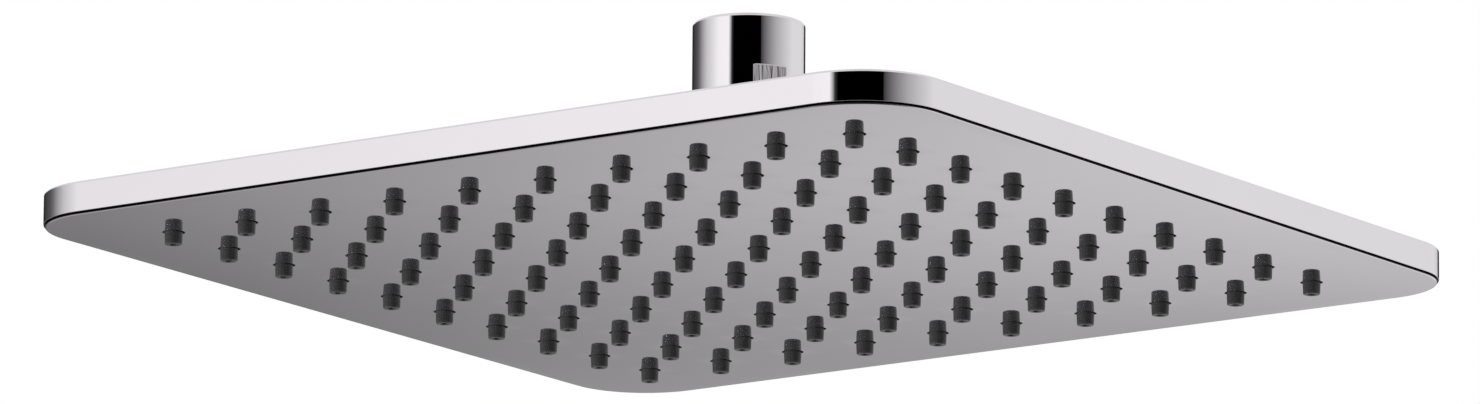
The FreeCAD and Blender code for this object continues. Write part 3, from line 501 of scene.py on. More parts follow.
def addPlateMargin(skin, cfg):
    # The margin round the field of holes, the rounded lip, the seam's step and the flat back.
    field = fieldRing(cfg["holeSegments"])
    fullTurn = math.sin(cfg["lipTurn"])
    flatEdge = plateOutline(cfg, cfg["lipRound"] * fullTurn)[0]
    margin, marginNormals = onFace(np.array(
        [field * (1 - share) + flatEdge * share for share in (0, 0.35, 0.7, 1)]))
    addPatch(skin, margin, marginNormals, closed=True)
    outer, outward = plateOutline(cfg, 0)
    rows = []
    rowNormals = []
    for angle in np.linspace(0, cfg["lipTurn"], 7):
        inset = cfg["lipRound"] * (fullTurn - math.sin(angle))
        lift = margin[-1][:, 2:] + cfg["lipRound"] * (1 - math.cos(angle))
        rows.append(raised(plateOutline(cfg, inset)[0], lift))
        rowNormals.append(raised(outward * math.sin(angle), -math.cos(angle)))
    # The end of the lip turns into the seam. From there on the lip, the seam's step and the flat back are
    # painted dark, as painted shade.
    paintedShadeRow = cfg["paintedShadeRow"]
    addPatch(skin, rows[:paintedShadeRow + 1], rowNormals[:paintedShadeRow + 1], closed=True)
    addPatch(skin, rows[paintedShadeRow:], rowNormals[paintedShadeRow:], closed=True, inside=1)
    lipTop = raised(outer, head["faceEdge"] + cfg["lip"])
    addPatch(skin, [rows[-1], lipTop], rowNormals[-1], closed=True, inside=1)
    step = plateOutline(cfg, cfg["stepInset"] - cfg["inset"])[0]
    stepFoot = raised(step, head["faceEdge"] + cfg["lip"])
    stepTop = raised(step, head["innerFace"])
    addPatch(skin, [lipTop, stepFoot], (0, 0, 1), closed=True, inside=1)
    addPatch(skin, [stepFoot, stepTop], raised(outward, 0), closed=True, inside=1)
    back = [raised(step * share + field * (1 - share), head["innerFace"]) for share in (1, 0.5, 0)]
    addPatch(skin, back, (0, 0, 1), closed=True, inside=1)


def makeFacePlate(cfg):
    skin = newSkin()
    for spot in nozzleSpots():
        addPlateHole(skin, cfg, spot)
    addPlateMargin(skin, cfg)
    dress(skinObject(skin, "facePlateShell"), "face_plate")


makeFacePlate(facePlate)
print("face plate made")


# Nozzle mat

nozzleMat = {
    "rootRadius": 2.17 * mm,
    "tipRadius": 2.07 * mm,
    "reach": 3.0 * mm,
    "tipRound": 0.35 * mm,
    "boreRadius": 0.95 * mm,
    "mouthRadius": 1.2 * mm,
    "mouthDepth": 0.3 * mm,
    "segments": 32,
}


def addNozzle(skin, cfg, spot):
    # One tapered nozzle with its bore, and the cell of the sheet round it.
    segments = cfg["segments"]
    under, top = head["innerFace"], matHigh.z
    face = onFace(np.array([spot]))[0][0, 2]
    end = face - cfg["reach"]
    mouthFloor = end + cfg["mouthDepth"]
    bore, mouth = cfg["boreRadius"], cfg["mouthRadius"]
    root, tip = cfg["rootRadius"], cfg["tipRadius"]
    roundOff = cfg["tipRound"]
    for section in (
            lineRows((bore, top), (bore, mouthFloor)),
            lineRows((bore, mouthFloor), (mouth, end)),
            lineRows((mouth, end), (tip - roundOff, end)),
            arcRows((tip - roundOff, end + roundOff), roundOff, -90, 0, 5),
            lineRows((tip, end + roundOff), (root, face), (root, under))):
        turnedPatch(skin, section, ringAngles(segments), spot=spot)
    addPatch(skin, raised(cellRings(root, segments) + spot, under), (0, 0, -1), closed=True)
    addPatch(skin, raised(cellRings(bore, segments) + spot, top), (0, 0, 1), closed=True)


def addSheetMargin(skin, cfg):
    # The sheet from the field of nozzles out to its square edge.
    field = fieldRing(cfg["segments"])
    edge = squareRing(matHigh.x, len(field))
    under, top = head["innerFace"], matHigh.z
    addPatch(skin, [raised(field, under), raised(edge, under)], (0, 0, -1), closed=True)
    perSide = len(edge) // 4
    for quarter in range(4):
        part = np.roll(edge, -quarter * perSide, axis=0)[:perSide + 1]
        outward = quarterTurn(quarter) @ np.array([0, 1])
        addPatch(skin, [raised(part, under), raised(part, top)], (*outward, 0))
    addPatch(skin, [raised(edge, top), raised(field, top)], (0, 0, 1), closed=True)


def makeNozzleMat(cfg):
    skin = newSkin()
    for spot in nozzleSpots():
        addNozzle(skin, cfg, spot)
    addSheetMargin(skin, cfg)
    dress(skinObject(skin, "nozzleMatSheet"), "nozzle_mat")


makeNozzleMat(nozzleMat)
print("nozzle mat made")


# Rear cover

rearCover = {
    "wall": 2.0 * mm,
    "crown": 6.0 * mm,
    "edgeRound": 0.6 * mm,
    "skirtRound": 0.08 * mm,
    "seatRadius": 19.5 * mm,
    "seatRise": 0.4 * mm,
    "seatRound": 0.3 * mm,
    "seatDrop": 0.12 * mm,
    "filletOut": 0.15 * mm,
    "filletUp": 0.12 * mm,
    "seatFoot": 20.3 * mm,
    "holeRadius": 15.7 * mm,
    "recessRadius": 25 * mm,
    "sideSteps": 28,
    "cornerSteps": 20,
    "rings": 26,
}
rearCover["edge"] = coverHigh.z - rearCover["seatRise"] - rearCover["crown"]


def coverOutline(cfg, inset=0):
    # The cover's outline, drawn in by inset.
    side = head["side"] - 2 * inset
    return roundedSquare(side, head["cornerRadius"] - inset, cfg["sideSteps"], cfg["cornerSteps"])


def coverCircle(cfg, radius):
    # A circle with a point in the direction of each one of the outline.
    outline = coverOutline(cfg)[0]
    angles = np.arctan2(outline[:, 1], outline[:, 0])
    return radius * np.stack([np.cos(angles), np.sin(angles)], -1)


def onBack(cfg, flat):
    return bulge(flat, cfg["edge"], cfg["crown"], head["side"] / 2, 1)


def addCoverEdge(skin, cfg):
    # The rounded upper edge, which turns from the side's normal to the back's normal. Gives its
    # lowest row and the row where the back starts.
    outline, outward = coverOutline(cfg)
    sideNormals = raised(outward, 0)
    roundOff = cfg["edgeRound"]
    lean = np.sum(onBack(cfg, outline)[1] * sideNormals, -1, keepdims=True)
    backEdge, backNormals = onBack(cfg, outline - outward * roundOff * (1 - lean))
    centre = backEdge - backNormals * roundOff
    opening = np.arccos(np.clip(np.sum(backNormals * sideNormals, -1, keepdims=True), -1, 1))
    rows = []
    rowNormals = []
    for share in np.linspace(0, 1, 9):
        mixed = np.sin(opening * (1 - share)) * sideNormals + np.sin(opening * share) * backNormals
        rowNormals.append(mixed / np.sin(opening))
        rows.append(centre + rowNormals[-1] * roundOff)
    addPatch(skin, rows, rowNormals, closed=True)
    return rows[0], backEdge


def addCoverSkirt(skin, cfg, bandTop):
    # The side band, the small rounding at its foot and the skirt's underside.
    outline, outward = coverOutline(cfg)
    small = cfg["skirtRound"]
    bandFoot = coverLow.z + small
    band = [raised(outline, bandFoot)]
    for share in (0.5, 1):
        band.append(raised(bandTop[:, :2], bandFoot * (1 - share) + bandTop[:, 2:] * share))
    addPatch(skin, band, raised(outward, 0), closed=True)
    curl = []
    curlNormals = []
    for angle in np.linspace(0, math.pi / 2, 5):
        flat = outline - outward * small * (1 - math.sin(angle))
        curl.append(raised(flat, coverLow.z + small * (1 - math.cos(angle))))
        curlNormals.append(raised(outward * math.sin(angle), -math.cos(angle)))
    addPatch(skin, curl, curlNormals, closed=True)
    innerWall = coverOutline(cfg, cfg["wall"])[0]
    # The skirt's underside is painted dark, as painted shade.
    addPatch(skin, [raised(innerWall, coverLow.z), curl[0]], (0, 0, -1), closed=True, inside=1)


def addCoverInside(skin, cfg):
    # The inner wall, the ceiling, the recess over the socket's flange and the hole.
    # All these hidden surfaces are painted dark, as painted shade.
    outward = coverOutline(cfg)[1]
    innerWall = coverOutline(cfg, cfg["wall"])[0]
    recess = coverCircle(cfg, cfg["recessRadius"])
    hole = coverCircle(cfg, cfg["holeRadius"])
    towardAxis = raised(-coverCircle(cfg, 1.0), 0)
    ceiling = []
    ceilingNormals = []
    for share in np.linspace(1, 0, 9):
        flat = innerWall * (1 - share) + recess * share
        points, normals = bulge(flat, cfg["edge"] - cfg["wall"], cfg["crown"], head["side"] / 2, -1)
        ceiling.append(points)
        ceilingNormals.append(normals)
    addPatch(skin, [ceiling[-1], raised(innerWall, coverLow.z)], raised(-outward, 0), closed=True, inside=1)
    addPatch(skin, ceiling, ceilingNormals, closed=True, inside=1)
    recessTop = cfg["edge"] + cfg["crown"] - cfg["wall"]
    recessEdge = raised(recess, recessTop)
    holeEdge = raised(hole, recessTop)
    addPatch(skin, [recessEdge, ceiling[0]], towardAxis, closed=True, inside=1)
    addPatch(skin, [holeEdge, recessEdge], (0, 0, -1), closed=True, inside=1)
    addPatch(skin, [raised(hole, coverHigh.z), holeEdge], towardAxis, closed=True, inside=1)


def addCoverBack(skin, cfg, backEdge):
    # The flat seat under the nut, its low shoulder and the crowned back.
    hole = raised(coverCircle(cfg, cfg["holeRadius"]), coverHigh.z)
    seatEdge = raised(coverCircle(cfg, cfg["seatRadius"] - cfg["seatRound"]), coverHigh.z)
    addPatch(skin, [seatEdge, hole], (0, 0, 1), closed=True)
    radial = coverCircle(cfg, 1.0)
    flatFoot = coverCircle(cfg, cfg["seatFoot"])
    foot, footNormals = onBack(cfg, flatFoot)
    fillet = coverCircle(cfg, cfg["seatRadius"] + cfg["filletOut"])
    shoulder = [
        foot,
        raised(fillet, foot[:, 2:] + cfg["filletUp"]),
        raised(coverCircle(cfg, cfg["seatRadius"]), coverHigh.z - cfg["seatDrop"]),
        seatEdge,
    ]
    # The normals turn from the back's to the seat's.
    shoulderNormals = [
        footNormals, raised(radial * 0.5, 0.87), raised(radial * 0.6, 0.8), raised(radial * 0, 1)]
    addPatch(skin, shoulder, shoulderNormals, closed=True)
    rows = []
    rowNormals = []
    for share in np.linspace(0, 1, cfg["rings"]):
        points, normals = onBack(cfg, backEdge[:, :2] * (1 - share) + flatFoot * share)
        rows.append(points)
        rowNormals.append(normals)
    addPatch(skin, rows, rowNormals, closed=True)


def makeRearCover(cfg):
    skin = newSkin()
    bandTop, backEdge = addCoverEdge(skin, cfg)
    addCoverSkirt(skin, cfg, bandTop)
    addCoverInside(skin, cfg)
    addCoverBack(skin, cfg, backEdge)
    dress(skinObject(skin, "rearCoverShell"), "rear_cover")


makeRearCover(rearCover)
print("rear cover made")


# Swivel connector

connector = {
    "radius": 13.5 * mm,
    "endRound": 0.8 * mm,
    "foot": connectorHigh.z - 19.7 * mm,
    "neckRadius": 5.8 * mm,
    "neckRound": 0.6 * mm,
    "ballMiddle": connectorHigh.z - 34.2 * mm,
    "ballRadius": 11 * mm,
    "boreRadius": 4.25 * mm,
    "pocketRadius": 6.5 * mm,
    "pocketFloor": connectorHigh.z - 17.6 * mm,
    "recessRadius": 10.3 * mm,
    "recessFloor": connectorHigh.z - 14.6 * mm,
    "threadEnd": connectorHigh.z - 12 * mm,
    "threadRoot": 10.48 * mm,
    "threadCrest": 9.4 * mm,
    "threadPitch": 1.814 * mm,
    "rootShare": 0.14,
    "crestShare": 0.16,
    "mouthRadius": 11 * mm,
    "ledgeRound": 0.2 * mm,
}


def threadRadius(cfg, angles, heights):
    # The radius of the inlet thread, with its run-out at the bottom and its chamfer at the top.
    phase = ((heights - cfg["threadEnd"]) / cfg["threadPitch"] - angles / (2 * math.pi)) % 1
    wave = 1 - np.abs(2 * phase - 1)
    ridge = np.clip((wave - cfg["rootShare"]) / (1 - cfg["rootShare"] - cfg["crestShare"]), 0, 1)
    ridge = ridge * ridge * (3 - 2 * ridge)
    radius = cfg["threadRoot"] - (cfg["threadRoot"] - cfg["threadCrest"]) * ridge
    chamfer = cfg["mouthRadius"] + heights - connectorHigh.z
    runOut = cfg["threadRoot"] - (heights - cfg["threadEnd"])
    return np.maximum(radius, np.maximum(chamfer, runOut))


def connectorSpans(cfg, flats):
    # The stretches round the connector, each flat's with its middle, and all their angles.
    opening = math.acos(flats["depth"] / cfg["radius"])
    spans = []
    for turn in (0, math.pi):
        middle = math.radians(flats["turn"]) + turn
        spans.append((middle, np.linspace(middle - opening, middle + opening, 17)))
        spans.append((None, np.linspace(middle + opening, middle + math.pi - opening, 49)))
    return spans, np.concatenate([span[:-1] for unused, span in spans])


def addSpannerFlat(skin, cfg, flats, middle, span, footRound):
    # The wall over a flat, the ledge, the flat itself and where the foot's rounding runs into it.
    radius = cfg["radius"]
    depth = np.minimum(flats["depth"] / np.cos(span - middle), radius)
    ledge = np.minimum(cfg["ledgeRound"], radius - depth)
    curl = [(radius, flats["top"] + cfg["ledgeRound"] * 2, 1, 0)]
    for angle in np.linspace(0, math.pi / 2, 5):
        out, up = math.cos(angle), math.sin(angle)
        curl.append((radius - ledge * (1 - out), flats["top"] + ledge * (1 - up), out, -up))
    turnedPatch(skin, curl, span, closed=False)
    turnedPatch(skin, [(curl[-1][0], flats["top"], 0, -1), (depth, flats["top"], 0, -1)], span, closed=False)
    rows = [(depth, flats["top"])] + [(np.minimum(row[0], depth), row[1]) for row in footRound]
    points = np.array([np.stack(np.broadcast_arrays(
        reach * np.cos(span), reach * np.sin(span), height), -1) for reach, height in rows])
    normals = np.zeros_like(points)
    normals[...] = (math.cos(middle), math.sin(middle), 0)
    # Where the rounding is free of the flat, it keeps its own normals.
    for step, (reach, height, out, up) in enumerate(footRound, 1):
        free = reach < depth - 1e-9
        own = np.stack([out * np.cos(span), out * np.sin(span), np.full(len(span), up)], -1)
        normals[step][free] = own[free]
    addPatch(skin, points, normals)


def addConnectorWall(skin, cfg, flats, spans, angles):
    # The outer wall with the mouth's rounding. Beside the flats it goes on down to the foot.
    radius = cfg["radius"]
    small = cfg["endRound"]
    foot, top = cfg["foot"], connectorHigh.z
    wallFoot = flats["top"] + cfg["ledgeRound"] * 2
    turnedPatch(skin, lineRows((radius, wallFoot), (radius, top - small)), angles)
    turnedPatch(skin, arcRows((radius - small, top - small), small, 0, 90), angles)
    turnedPatch(skin, lineRows((radius - small, top), (cfg["mouthRadius"], top)), angles)
    footRound = arcRows((radius - small, foot + small), small, 0, -90, 8)
    lowWall = lineRows((radius, foot + small), (radius, flats["top"]), (radius, wallFoot))
    for middle, span in spans:
        if middle is None:
            turnedPatch(skin, lowWall, span, closed=False)
            turnedPatch(skin, footRound, span, closed=False)
        else:
            addSpannerFlat(skin, cfg, flats, middle, span, footRound)


def addNeckAndBall(skin, cfg, angles):
    foot, neck, soft = cfg["foot"], cfg["neckRadius"], cfg["neckRound"]
    ball, ballRadius = cfg["ballMiddle"], cfg["ballRadius"]
    neckEnd = ball + math.sqrt(ballRadius ** 2 - neck ** 2)
    cut = connectorLow.z
    cutRadius = math.sqrt(ballRadius ** 2 - (ball - cut) ** 2)
    cutAngle = math.degrees(math.asin((cut - ball) / ballRadius))
    neckAngle = math.degrees(math.acos(neck / ballRadius))
    for section in (
            lineRows((neck + soft, foot), (cfg["radius"] - cfg["endRound"], foot)),
            arcRows((neck + soft, foot - soft), soft, 180, 90, hollow=True),
            lineRows((neck, neckEnd), (neck, foot - soft)),
            arcRows((0, ball), ballRadius, cutAngle, neckAngle, 28),
            lineRows((cfg["boreRadius"], cut), (cutRadius, cut))):
        turnedPatch(skin, section, angles)


def addInletThread(skin, cfg, angles):
    heights = np.linspace(cfg["threadEnd"], connectorHigh.z, 121)[:, None]
    around = angles[None, :]
    reach = threadRadius(cfg, around, heights)
    # The normals come from the radius a little higher and lower, and a little further round.
    lift = 0.02 * mm
    turn = 1e-3
    rise = threadRadius(cfg, around, heights + lift) - threadRadius(cfg, around, heights - lift)
    rise /= 2 * lift
    twist = threadRadius(cfg, around + turn, heights) - threadRadius(cfg, around - turn, heights)
    twist /= 2 * turn * reach
    out = np.stack(np.broadcast_arrays(np.cos(around), np.sin(around), 0 * reach), -1)
    along = np.stack(np.broadcast_arrays(-np.sin(around), np.cos(around), 0 * reach), -1)
    up = np.array([0, 0, 1])
    points = out * reach[..., None] + up * heights[..., None]
    addPatch(skin, points, -out + up * rise[..., None] + along * twist[..., None], closed=True)


def addInletBore(skin, cfg, angles):
    # The washer's recess, the regulator's pocket and the waterway through the ball.
    section = (
        (cfg["threadRoot"], cfg["threadEnd"]),
        (cfg["recessRadius"], cfg["threadEnd"]),
        (cfg["recessRadius"], cfg["recessFloor"]),
        (cfg["pocketRadius"], cfg["recessFloor"]),
        (cfg["pocketRadius"], cfg["pocketFloor"]),
        (cfg["boreRadius"], cfg["pocketFloor"]),
        (cfg["boreRadius"], connectorLow.z),
    )
    for start, end in zip(section, section[1:]):
        turnedPatch(skin, lineRows(start, end), angles)


def makeConnector(cfg, flats):
    skin = newSkin()
    spans, angles = connectorSpans(cfg, flats)
    addConnectorWall(skin, cfg, flats, spans, angles)
    addNeckAndBall(skin, cfg, angles)
    addInletThread(skin, cfg, angles)
    addInletBore(skin, cfg, angles)
    dress(skinObject(skin, "inletConnector"), "swivel_connector")


makeConnector(connector, spannerFlats)
print("connector made")


# Ball nut, with grip flutes

ballNut = {
    "radius": 18 * mm,
    "footRound": 0.4 * mm,
    "threadBore": 15.7 * mm,
    "threadTop": nutLow.z + 7.6 * mm,
    "seatRadius": 13.15 * mm,
    "mouthRadius": 10.35 * mm,
    "mouthRound": 0.3 * mm,
    "bevel": 3.2 * mm,
    "bevelRound": 1.0 * mm,
    "fluteCount": 12,
    "fluteRadius": 3 * mm,
    "fluteDepth": 0.7 * mm,
    "fluteLow": nutLow.z + 1 * mm,
    "fluteHigh": nutHigh.z - 4.2 * mm,
}


def nutSpans(cfg, away):
    # The stretches round the nut, each flute's with its middle, and all their angles.
    radius = cfg["radius"]
    half = math.acos((radius ** 2 + away ** 2 - cfg["fluteRadius"] ** 2) / (2 * radius * away))
    spans = []
    for flute in range(cfg["fluteCount"]):
        middle = 2 * math.pi * flute / cfg["fluteCount"]
        spans.append((middle, np.linspace(middle - half, middle + half, 11)))
        spans.append((None, np.linspace(middle + half, middle + 2 * math.pi / cfg["fluteCount"] - half, 7)))
    return spans, np.concatenate([span[:-1] for unused, span in spans])


def addNutBody(skin, cfg, angles):
    # The foot, the wall below and above the flutes, the bevel, the mouth, the seat and the bore.
    low, high = nutLow.z, nutHigh.z
    radius, foot = cfg["radius"], cfg["footRound"]
    bore, threadTop = cfg["threadBore"], cfg["threadTop"]
    turn = cfg["bevelRound"]
    back = turn * math.tan(math.pi / 8)
    lead = turn * math.cos(math.pi / 4)
    shoulder = high - cfg["bevel"] - back
    rim = radius - cfg["bevel"] - back
    mouth, curl = cfg["mouthRadius"], cfg["mouthRound"]
    seat = cfg["seatRadius"]
    seatTop = math.sqrt(seat ** 2 - mouth ** 2)
    seatAngle = math.degrees(math.asin(seatTop / seat))
    for section in (
            lineRows((bore, low), (radius - foot, low)),
            arcRows((radius - foot, low + foot), foot, -90, 0),
            lineRows((radius, low + foot), (radius, cfg["fluteLow"])),
            lineRows((radius, cfg["fluteHigh"]), (radius, shoulder)),
            arcRows((radius - turn, shoulder), turn, 0, 45),
            lineRows((radius - turn + lead, shoulder + lead), (rim + lead, high - turn + lead)),
            arcRows((rim, high - turn), turn, 45, 90),
            lineRows((rim, high), (mouth + curl, high)),
            arcRows((mouth + curl, high - curl), curl, 90, 180),
            lineRows((mouth, high - curl), (mouth, threadTop + seatTop)),
            arcRows((0, threadTop), seat, seatAngle, 0, 12, hollow=True),
            lineRows((seat, threadTop), (bore, threadTop)),
            lineRows((bore, threadTop), (bore, low))):
        turnedPatch(skin, section, angles)


def addFlute(skin, cfg, away, middle, span):
    # One hollow flute, with its two flat ends.
    swing = span - middle
    hollow = np.sqrt(np.maximum(cfg["fluteRadius"] ** 2 - (away * np.sin(swing)) ** 2, 0))
    reach = np.minimum(away * np.cos(swing) - hollow, cfg["radius"])
    flat = np.stack([reach * np.cos(span), reach * np.sin(span)], -1)
    centre = np.array([away * math.cos(middle), away * math.sin(middle)])
    facing = raised((centre - flat) / cfg["fluteRadius"], 0)
    addPatch(skin, [raised(flat, cfg["fluteLow"]), raised(flat, cfg["fluteHigh"])], facing)
    for height, up in ((cfg["fluteLow"], 1), (cfg["fluteHigh"], -1)):
        turnedPatch(skin, [(reach, height, 0, up), (cfg["radius"], height, 0, up)], span, closed=False)


def makeBallNut(cfg):
    skin = newSkin()
    away = cfg["radius"] + cfg["fluteRadius"] - cfg["fluteDepth"]
    spans, angles = nutSpans(cfg, away)
    addNutBody(skin, cfg, angles)
    ridge = lineRows((cfg["radius"], cfg["fluteLow"]), (cfg["radius"], cfg["fluteHigh"]))
    for middle, span in spans:
        if middle is None:
            turnedPatch(skin, ridge, span, closed=False)
        else:
            addFlute(skin, cfg, away, middle, span)
    dress(skinObject(skin, "capNut"), "ball_nut")


makeBallNut(ballNut)
print("ball nut made")


# Filter screen, woven from wire

filterScreen = {
    "radius": 10.1 * mm,
    "rimWidth": 0.35 * mm,
    "wireRadius": 0.1 * mm,
    "press": 0.98,
    "spacing": 0.85 * mm,
    "perCrossing": 4,
    "wireSides": 6,
}


def addWire(skin, cfg, middle, number, crosswise):
    # One wire, which goes over and under the wires that it crosses, with a cap at each end.
    inside = cfg["radius"] - cfg["rimWidth"]
    ring = np.radians(np.arange(cfg["wireSides"]) * 360 / cfg["wireSides"])[None, :]
    offset = number * cfg["spacing"]
    reach = math.sqrt(inside ** 2 - offset ** 2) + cfg["rimWidth"] / 2
    steps = max(8, int(2 * reach / cfg["spacing"] * cfg["perCrossing"]))
    along = np.linspace(-reach, reach, steps)[:, None]
    sign = (1 if crosswise else -1) * (-1 if number % 2 else 1)
    lift = sign * cfg["wireRadius"] * np.cos(math.pi * along / cfg["spacing"])
    across = offset + cfg["wireRadius"] * np.cos(ring)
    height = middle + cfg["press"] * (lift + cfg["wireRadius"] * np.sin(ring))
    place = np.broadcast_arrays(along, across, height)
    facing = np.broadcast_arrays(0 * along, np.cos(ring), np.sin(ring))
    order = (1, 0, 2) if crosswise else (0, 1, 2)
    points = np.stack([place[k] for k in order], -1)
    normals = np.stack([facing[k] for k in order], -1)
    addPatch(skin, points, normals, closed=True)
    for end, way in ((0, -1), (-1, 1)):
        cap = np.stack([points[end], np.broadcast_to(points[end].mean(axis=0), points[end].shape)])
        addPatch(skin, cap, (0, way, 0) if crosswise else (way, 0, 0), closed=True)


def makeFilterScreen(cfg):
    skin = newSkin()
    low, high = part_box("filter_screen")
    outer = cfg["radius"]
    inner = outer - cfg["rimWidth"]
    count = int(inner // cfg["spacing"])
    for crosswise in (False, True):
        for number in range(-count, count + 1):
            addWire(skin, cfg, (low.z + high.z) / 2, number, crosswise)
    angles = np.linspace(0, 2 * math.pi, 96, endpoint=False)
    section = ((inner, low.z), (outer, low.z), (outer, high.z), (inner, high.z), (inner, low.z))
    for start, end in zip(section, section[1:]):
        turnedPatch(skin, lineRows(start, end), angles)
    dress(skinObject(skin, "wovenScreen"), "filter_screen")


makeFilterScreen(filterScreen)
print("filter screen made")


# Camera, placed from the photograph, whose frame is 1480 by 404

photoView = {
    "place": (1.5764, -2.2585, -0.6431),
    "heading": 124.953,
    "rise": 12.2845,
    "roll": 0.41,
    "lens": 288.0,
    "sensor": 36.0,
}


def makeCamera(cfg):
    data = bpy.data.cameras.new("photoCamera")
    data.sensor_fit = "HORIZONTAL"
    data.sensor_width = cfg["sensor"]
    data.lens = cfg["lens"]
    data.clip_start = 0.05
    data.clip_end = 200
    camera = bpy.data.objects.new("photoCamera", data)
    bpy.context.scene.collection.objects.link(camera)
    turn = Matrix.Rotation(math.radians(cfg["heading"] - 90), 4, "Z")
    tip = Matrix.Rotation(math.radians(90 + cfg["rise"]), 4, "X")
    roll = Matrix.Rotation(math.radians(cfg["roll"]), 4, "Z")
    camera.matrix_world = Matrix.Translation(cfg["place"]) @ turn @ tip @ roll
    bpy.context.scene.camera = camera


makeCamera(photoView)


# Studio: floor, lamps and a ring of tone that only the polished metal sees

studio = {
    "floorDrop": -1.5,
    "floorRadius": 60.0,
    "floorColor": (0.86, 0.86, 0.86),
    "lampLevel": 0.75,
    # Each lamp's name, place, size and power.
    "lamps": [
        ("keyLamp", (-1.6, -2.0, 2.2), 1.6, 60),
        ("sideLamp", (2.2, 0.8, 1.4), 1.2, 25),
        ("lowLamp", (-1.45, -1.5, -0.55), 0.5, 260),
    ],
    "ringRadius": 3.4,
    "ringFoot": -1.4,
    "ringStart": -235,
    # Light levels round the object at and above its height, by compass direction in degrees: a
    # white wall that fades to the left, a black flag, a wall that fades in to the right, a black flag.
    "upperTones": [(-235, 0.01), (-219, 0.01), (-185, 0.09), (-175, 0.17), (-165, 0.35), (-150, 0.62),
                   (-135, 0.78), (-120, 0.97), (-97, 1), (-90, 0.04), (-86, 0), (-31, 0), (-29, 0.06),
                   (-14, 0.25), (3, 0.46), (22, 0.62), (44, 0.78), (80, 0.78), (97, 0.6), (99, 0.01),
                   (125, 0.01)],
    # Directions between which the upper levels start a little higher, and how much, in degrees.
    "liftedWall": (-170, -85),
    "wallLift": 4,
    # The flag behind the object is a band, with a white wall above it and a grey one below. It
    # fades to the sides, and the pairs give where each change starts and ends, in degrees.
    "behind": 125,
    "flagFade": (26, 45),
    "aboveFlag": 0.9,
    "aboveFlagRises": (13.5, 17),
    "underFlag": 0.3,
    "underFlagRises": (10, 6),
    # Levels just below its height, which the face mirrors, and how they change with the drop.
    "lowerTones": [(-235, 0.355), (-232, 0.27), (-229, 0.19), (-226, 0.16), (-215, 0.15), (-195, 0.16),
                   (-90, 0.18), (-30, 0.25), (40, 0.5), (100, 0.62), (118, 0.48), (122, 0.43),
                   (125, 0.355)],
    "lowerRises": [(-18, 1.4), (-15, 1.32), (-12, 1), (-10, 0.8)],
    # Levels further down, which the face mirrors when it is seen from below.
    "belowTones": [(-235, 0.4), (-215, 0.36), (-180, 0.34), (-90, 0.42), (0, 0.46), (60, 0.5), (70, 0.7),
                   (100, 0.7), (112, 0.48), (125, 0.4)],
    "belowRises": (-17, -24),
    # The dark ground straight below, which the lip's rounding mirrors at the near corner.
    "footTone": 0.03,
    "footRises": (-56, -62),
    # The high wall and the light overhead.
    "highTone": 0.75,
    "highRises": (15, 26),
    "overheadTone": 0.4,
    "overheadRises": (65, 90),
}


def toneAt(tones, azimuth):
    angles = [t[0] for t in tones]
    values = [t[1] for t in tones]
    return float(np.interp(azimuth, angles, values))


def smoothStep(value, start, end):
    share = min(1, max(0, (value - start) / (end - start)))
    return share * share * (3 - 2 * share)


def toneToward(cfg, azimuth, rise):
    # The tone in one direction, from the overhead light down to the ground.
    behind = 1 - smoothStep(abs((azimuth - cfg["behind"] + 180) % 360 - 180), *cfg["flagFade"])
    upper = toneAt(cfg["upperTones"], azimuth)
    upper += (cfg["aboveFlag"] - upper) * behind * smoothStep(rise, *cfg["aboveFlagRises"])
    upper = max(upper, cfg["underFlag"] * behind * smoothStep(rise, *cfg["underFlagRises"]))
    lower = toneAt(cfg["lowerTones"], azimuth) * toneAt(cfg["lowerRises"], rise)
    below = toneAt(cfg["belowTones"], azimuth)
    start, end = cfg["liftedWall"]
    level = cfg["wallLift"] if start < azimuth < end else 0
    tone = lower + (upper - lower) * smoothStep(rise, level - 1, level + 1)
    tone += (cfg["highTone"] - tone) * smoothStep(rise, *cfg["highRises"])
    tone += (cfg["overheadTone"] - tone) * smoothStep(rise, *cfg["overheadRises"])
    tone += (below - tone) * smoothStep(rise, *cfg["belowRises"])
    return tone + (cfg["footTone"] - tone) * smoothStep(rise, *cfg["footRises"])


def emitter(name):
    material, tree, shader = newMaterial(name)
    tree.nodes.remove(shader)
    tone = addNode(tree, "Attribute", {}, attribute_name="tone")
    glow = addNode(tree, "Emission", {"Color": tone.outputs["Color"]})
    feed(tree, tree.nodes["Material Output"], {"Surface": glow.outputs["Emission"]})
    return material


def makeToneRing(cfg):
    points = []
    tones = []
    faces = []
    steps = 360
    # The tones change fastest near the object's height, so the rows are closest there.
    rises = [*range(-90, -22, 4), *range(-22, 22), *range(22, 90, 4), 90]
    for rise in rises:
        up = math.radians(rise)
        reach = cfg["ringRadius"]
        if rise < 0:
            # The lower part stays above the floor.
            reach = min(reach, cfg["ringFoot"] / math.sin(up))
        flat = reach * math.cos(up)
        for azimuth in range(cfg["ringStart"], cfg["ringStart"] + steps):
            direction = math.radians(azimuth)
            points.append((flat * math.cos(direction), flat * math.sin(direction), reach * math.sin(up)))
            tones.append(toneToward(cfg, azimuth, rise))
    for row in range(len(rises) - 1):
        for step in range(steps):
            following = (step + 1) % steps
            faces.append((row * steps + step, row * steps + following,
                          (row + 1) * steps + following, (row + 1) * steps + step))
    mesh = bpy.data.meshes.new("toneRing")
    mesh.from_pydata(points, [], faces)
    layer = mesh.color_attributes.new("tone", "FLOAT_COLOR", "POINT")
    layer.data.foreach_set("color", [value for tone in tones for value in (tone, tone, tone, 1)])
    mesh.materials.append(emitter("toneRingGlow"))
    ring = bpy.data.objects.new("toneRing", mesh)
    bpy.context.scene.collection.objects.link(ring)
    ring.visible_camera = False
    ring.visible_diffuse = False
    ring.visible_shadow = False
    ring.visible_transmission = False


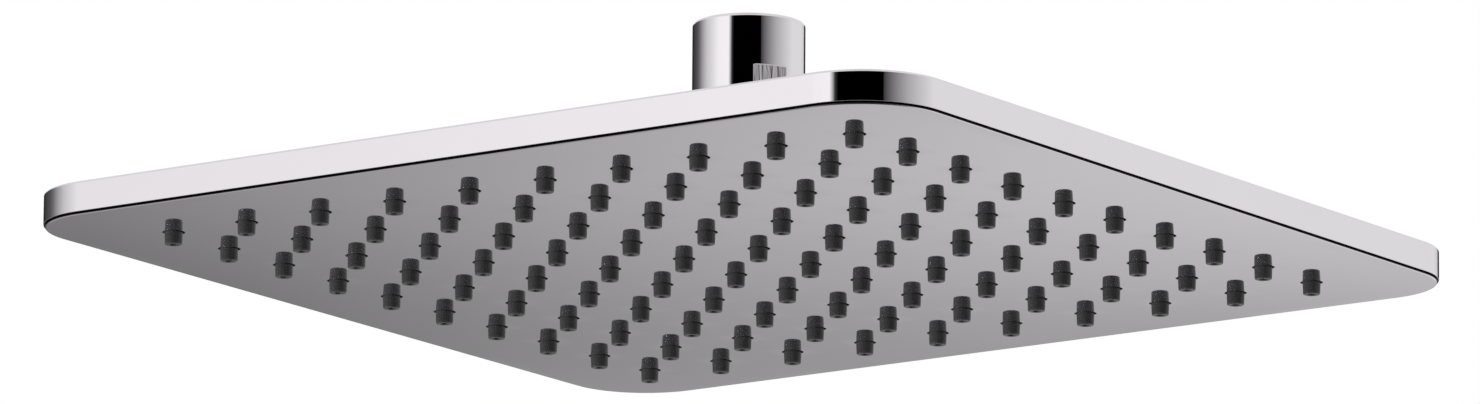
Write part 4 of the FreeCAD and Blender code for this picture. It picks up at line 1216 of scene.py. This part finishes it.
def makeFloor(cfg):
    bpy.ops.mesh.primitive_circle_add(
        vertices=128, radius=cfg["floorRadius"], fill_type="NGON", location=(0, 0, cfg["floorDrop"]))
    floor = bpy.context.object
    floor.name = "studioFloor"
    material, tree, shader = newMaterial("paleFloor")
    feed(tree, shader, {"Base Color": (*cfg["floorColor"], 1), "Roughness": 0.9, "Specular IOR Level": 0.1})
    # From below, the floor is clear.
    clear = addNode(tree, "BsdfTransparent", {}).outputs["BSDF"]
    facing = addNode(tree, "NewGeometry", {}).outputs["Backfacing"]
    choice = addNode(tree, "MixShader", {"Fac": facing, 1: shader.outputs["BSDF"], 2: clear})
    feed(tree, tree.nodes["Material Output"], {"Surface": choice.outputs["Shader"]})
    floor.data.materials.append(material)


def makeWorld(cfg):
    # Soft light on the object, and plain white where the camera or a reflection looks past it.
    world = bpy.data.worlds.new("studioWorld")
    bpy.context.scene.world = world
    world.use_nodes = True
    tree = world.node_tree
    soft = tree.nodes["Background"]
    feed(tree, soft, {"Color": (1, 1, 1, 1), "Strength": cfg["lampLevel"]})
    white = addNode(tree, "Background", {"Color": (1, 1, 1, 1)}).outputs["Background"]
    path = addNode(tree, "LightPath", {}).outputs
    direct = calculate(tree, "MAXIMUM", path["Is Camera Ray"], path["Is Glossy Ray"])
    seen = calculate(tree, "MAXIMUM", direct, path["Is Transmission Ray"])
    mix = addNode(tree, "MixShader", {"Fac": seen, 1: soft.outputs["Background"], 2: white})
    feed(tree, tree.nodes["World Output"], {"Surface": mix.outputs["Shader"]})


def makeLamp(name, place, size, power):
    data = bpy.data.lights.new(name, "AREA")
    data.energy = power
    data.size = size
    lamp = bpy.data.objects.new(name, data)
    lamp.location = place
    lamp.rotation_euler = (-Vector(place)).to_track_quat("-Z", "Y").to_euler()
    lamp.visible_glossy = False
    bpy.context.scene.collection.objects.link(lamp)


makeWorld(studio)
makeFloor(studio)
makeToneRing(studio)
for lamp in studio["lamps"]:
    makeLamp(*lamp)
bpy.context.scene.view_settings.view_transform = "Standard"
print("camera and studio made")
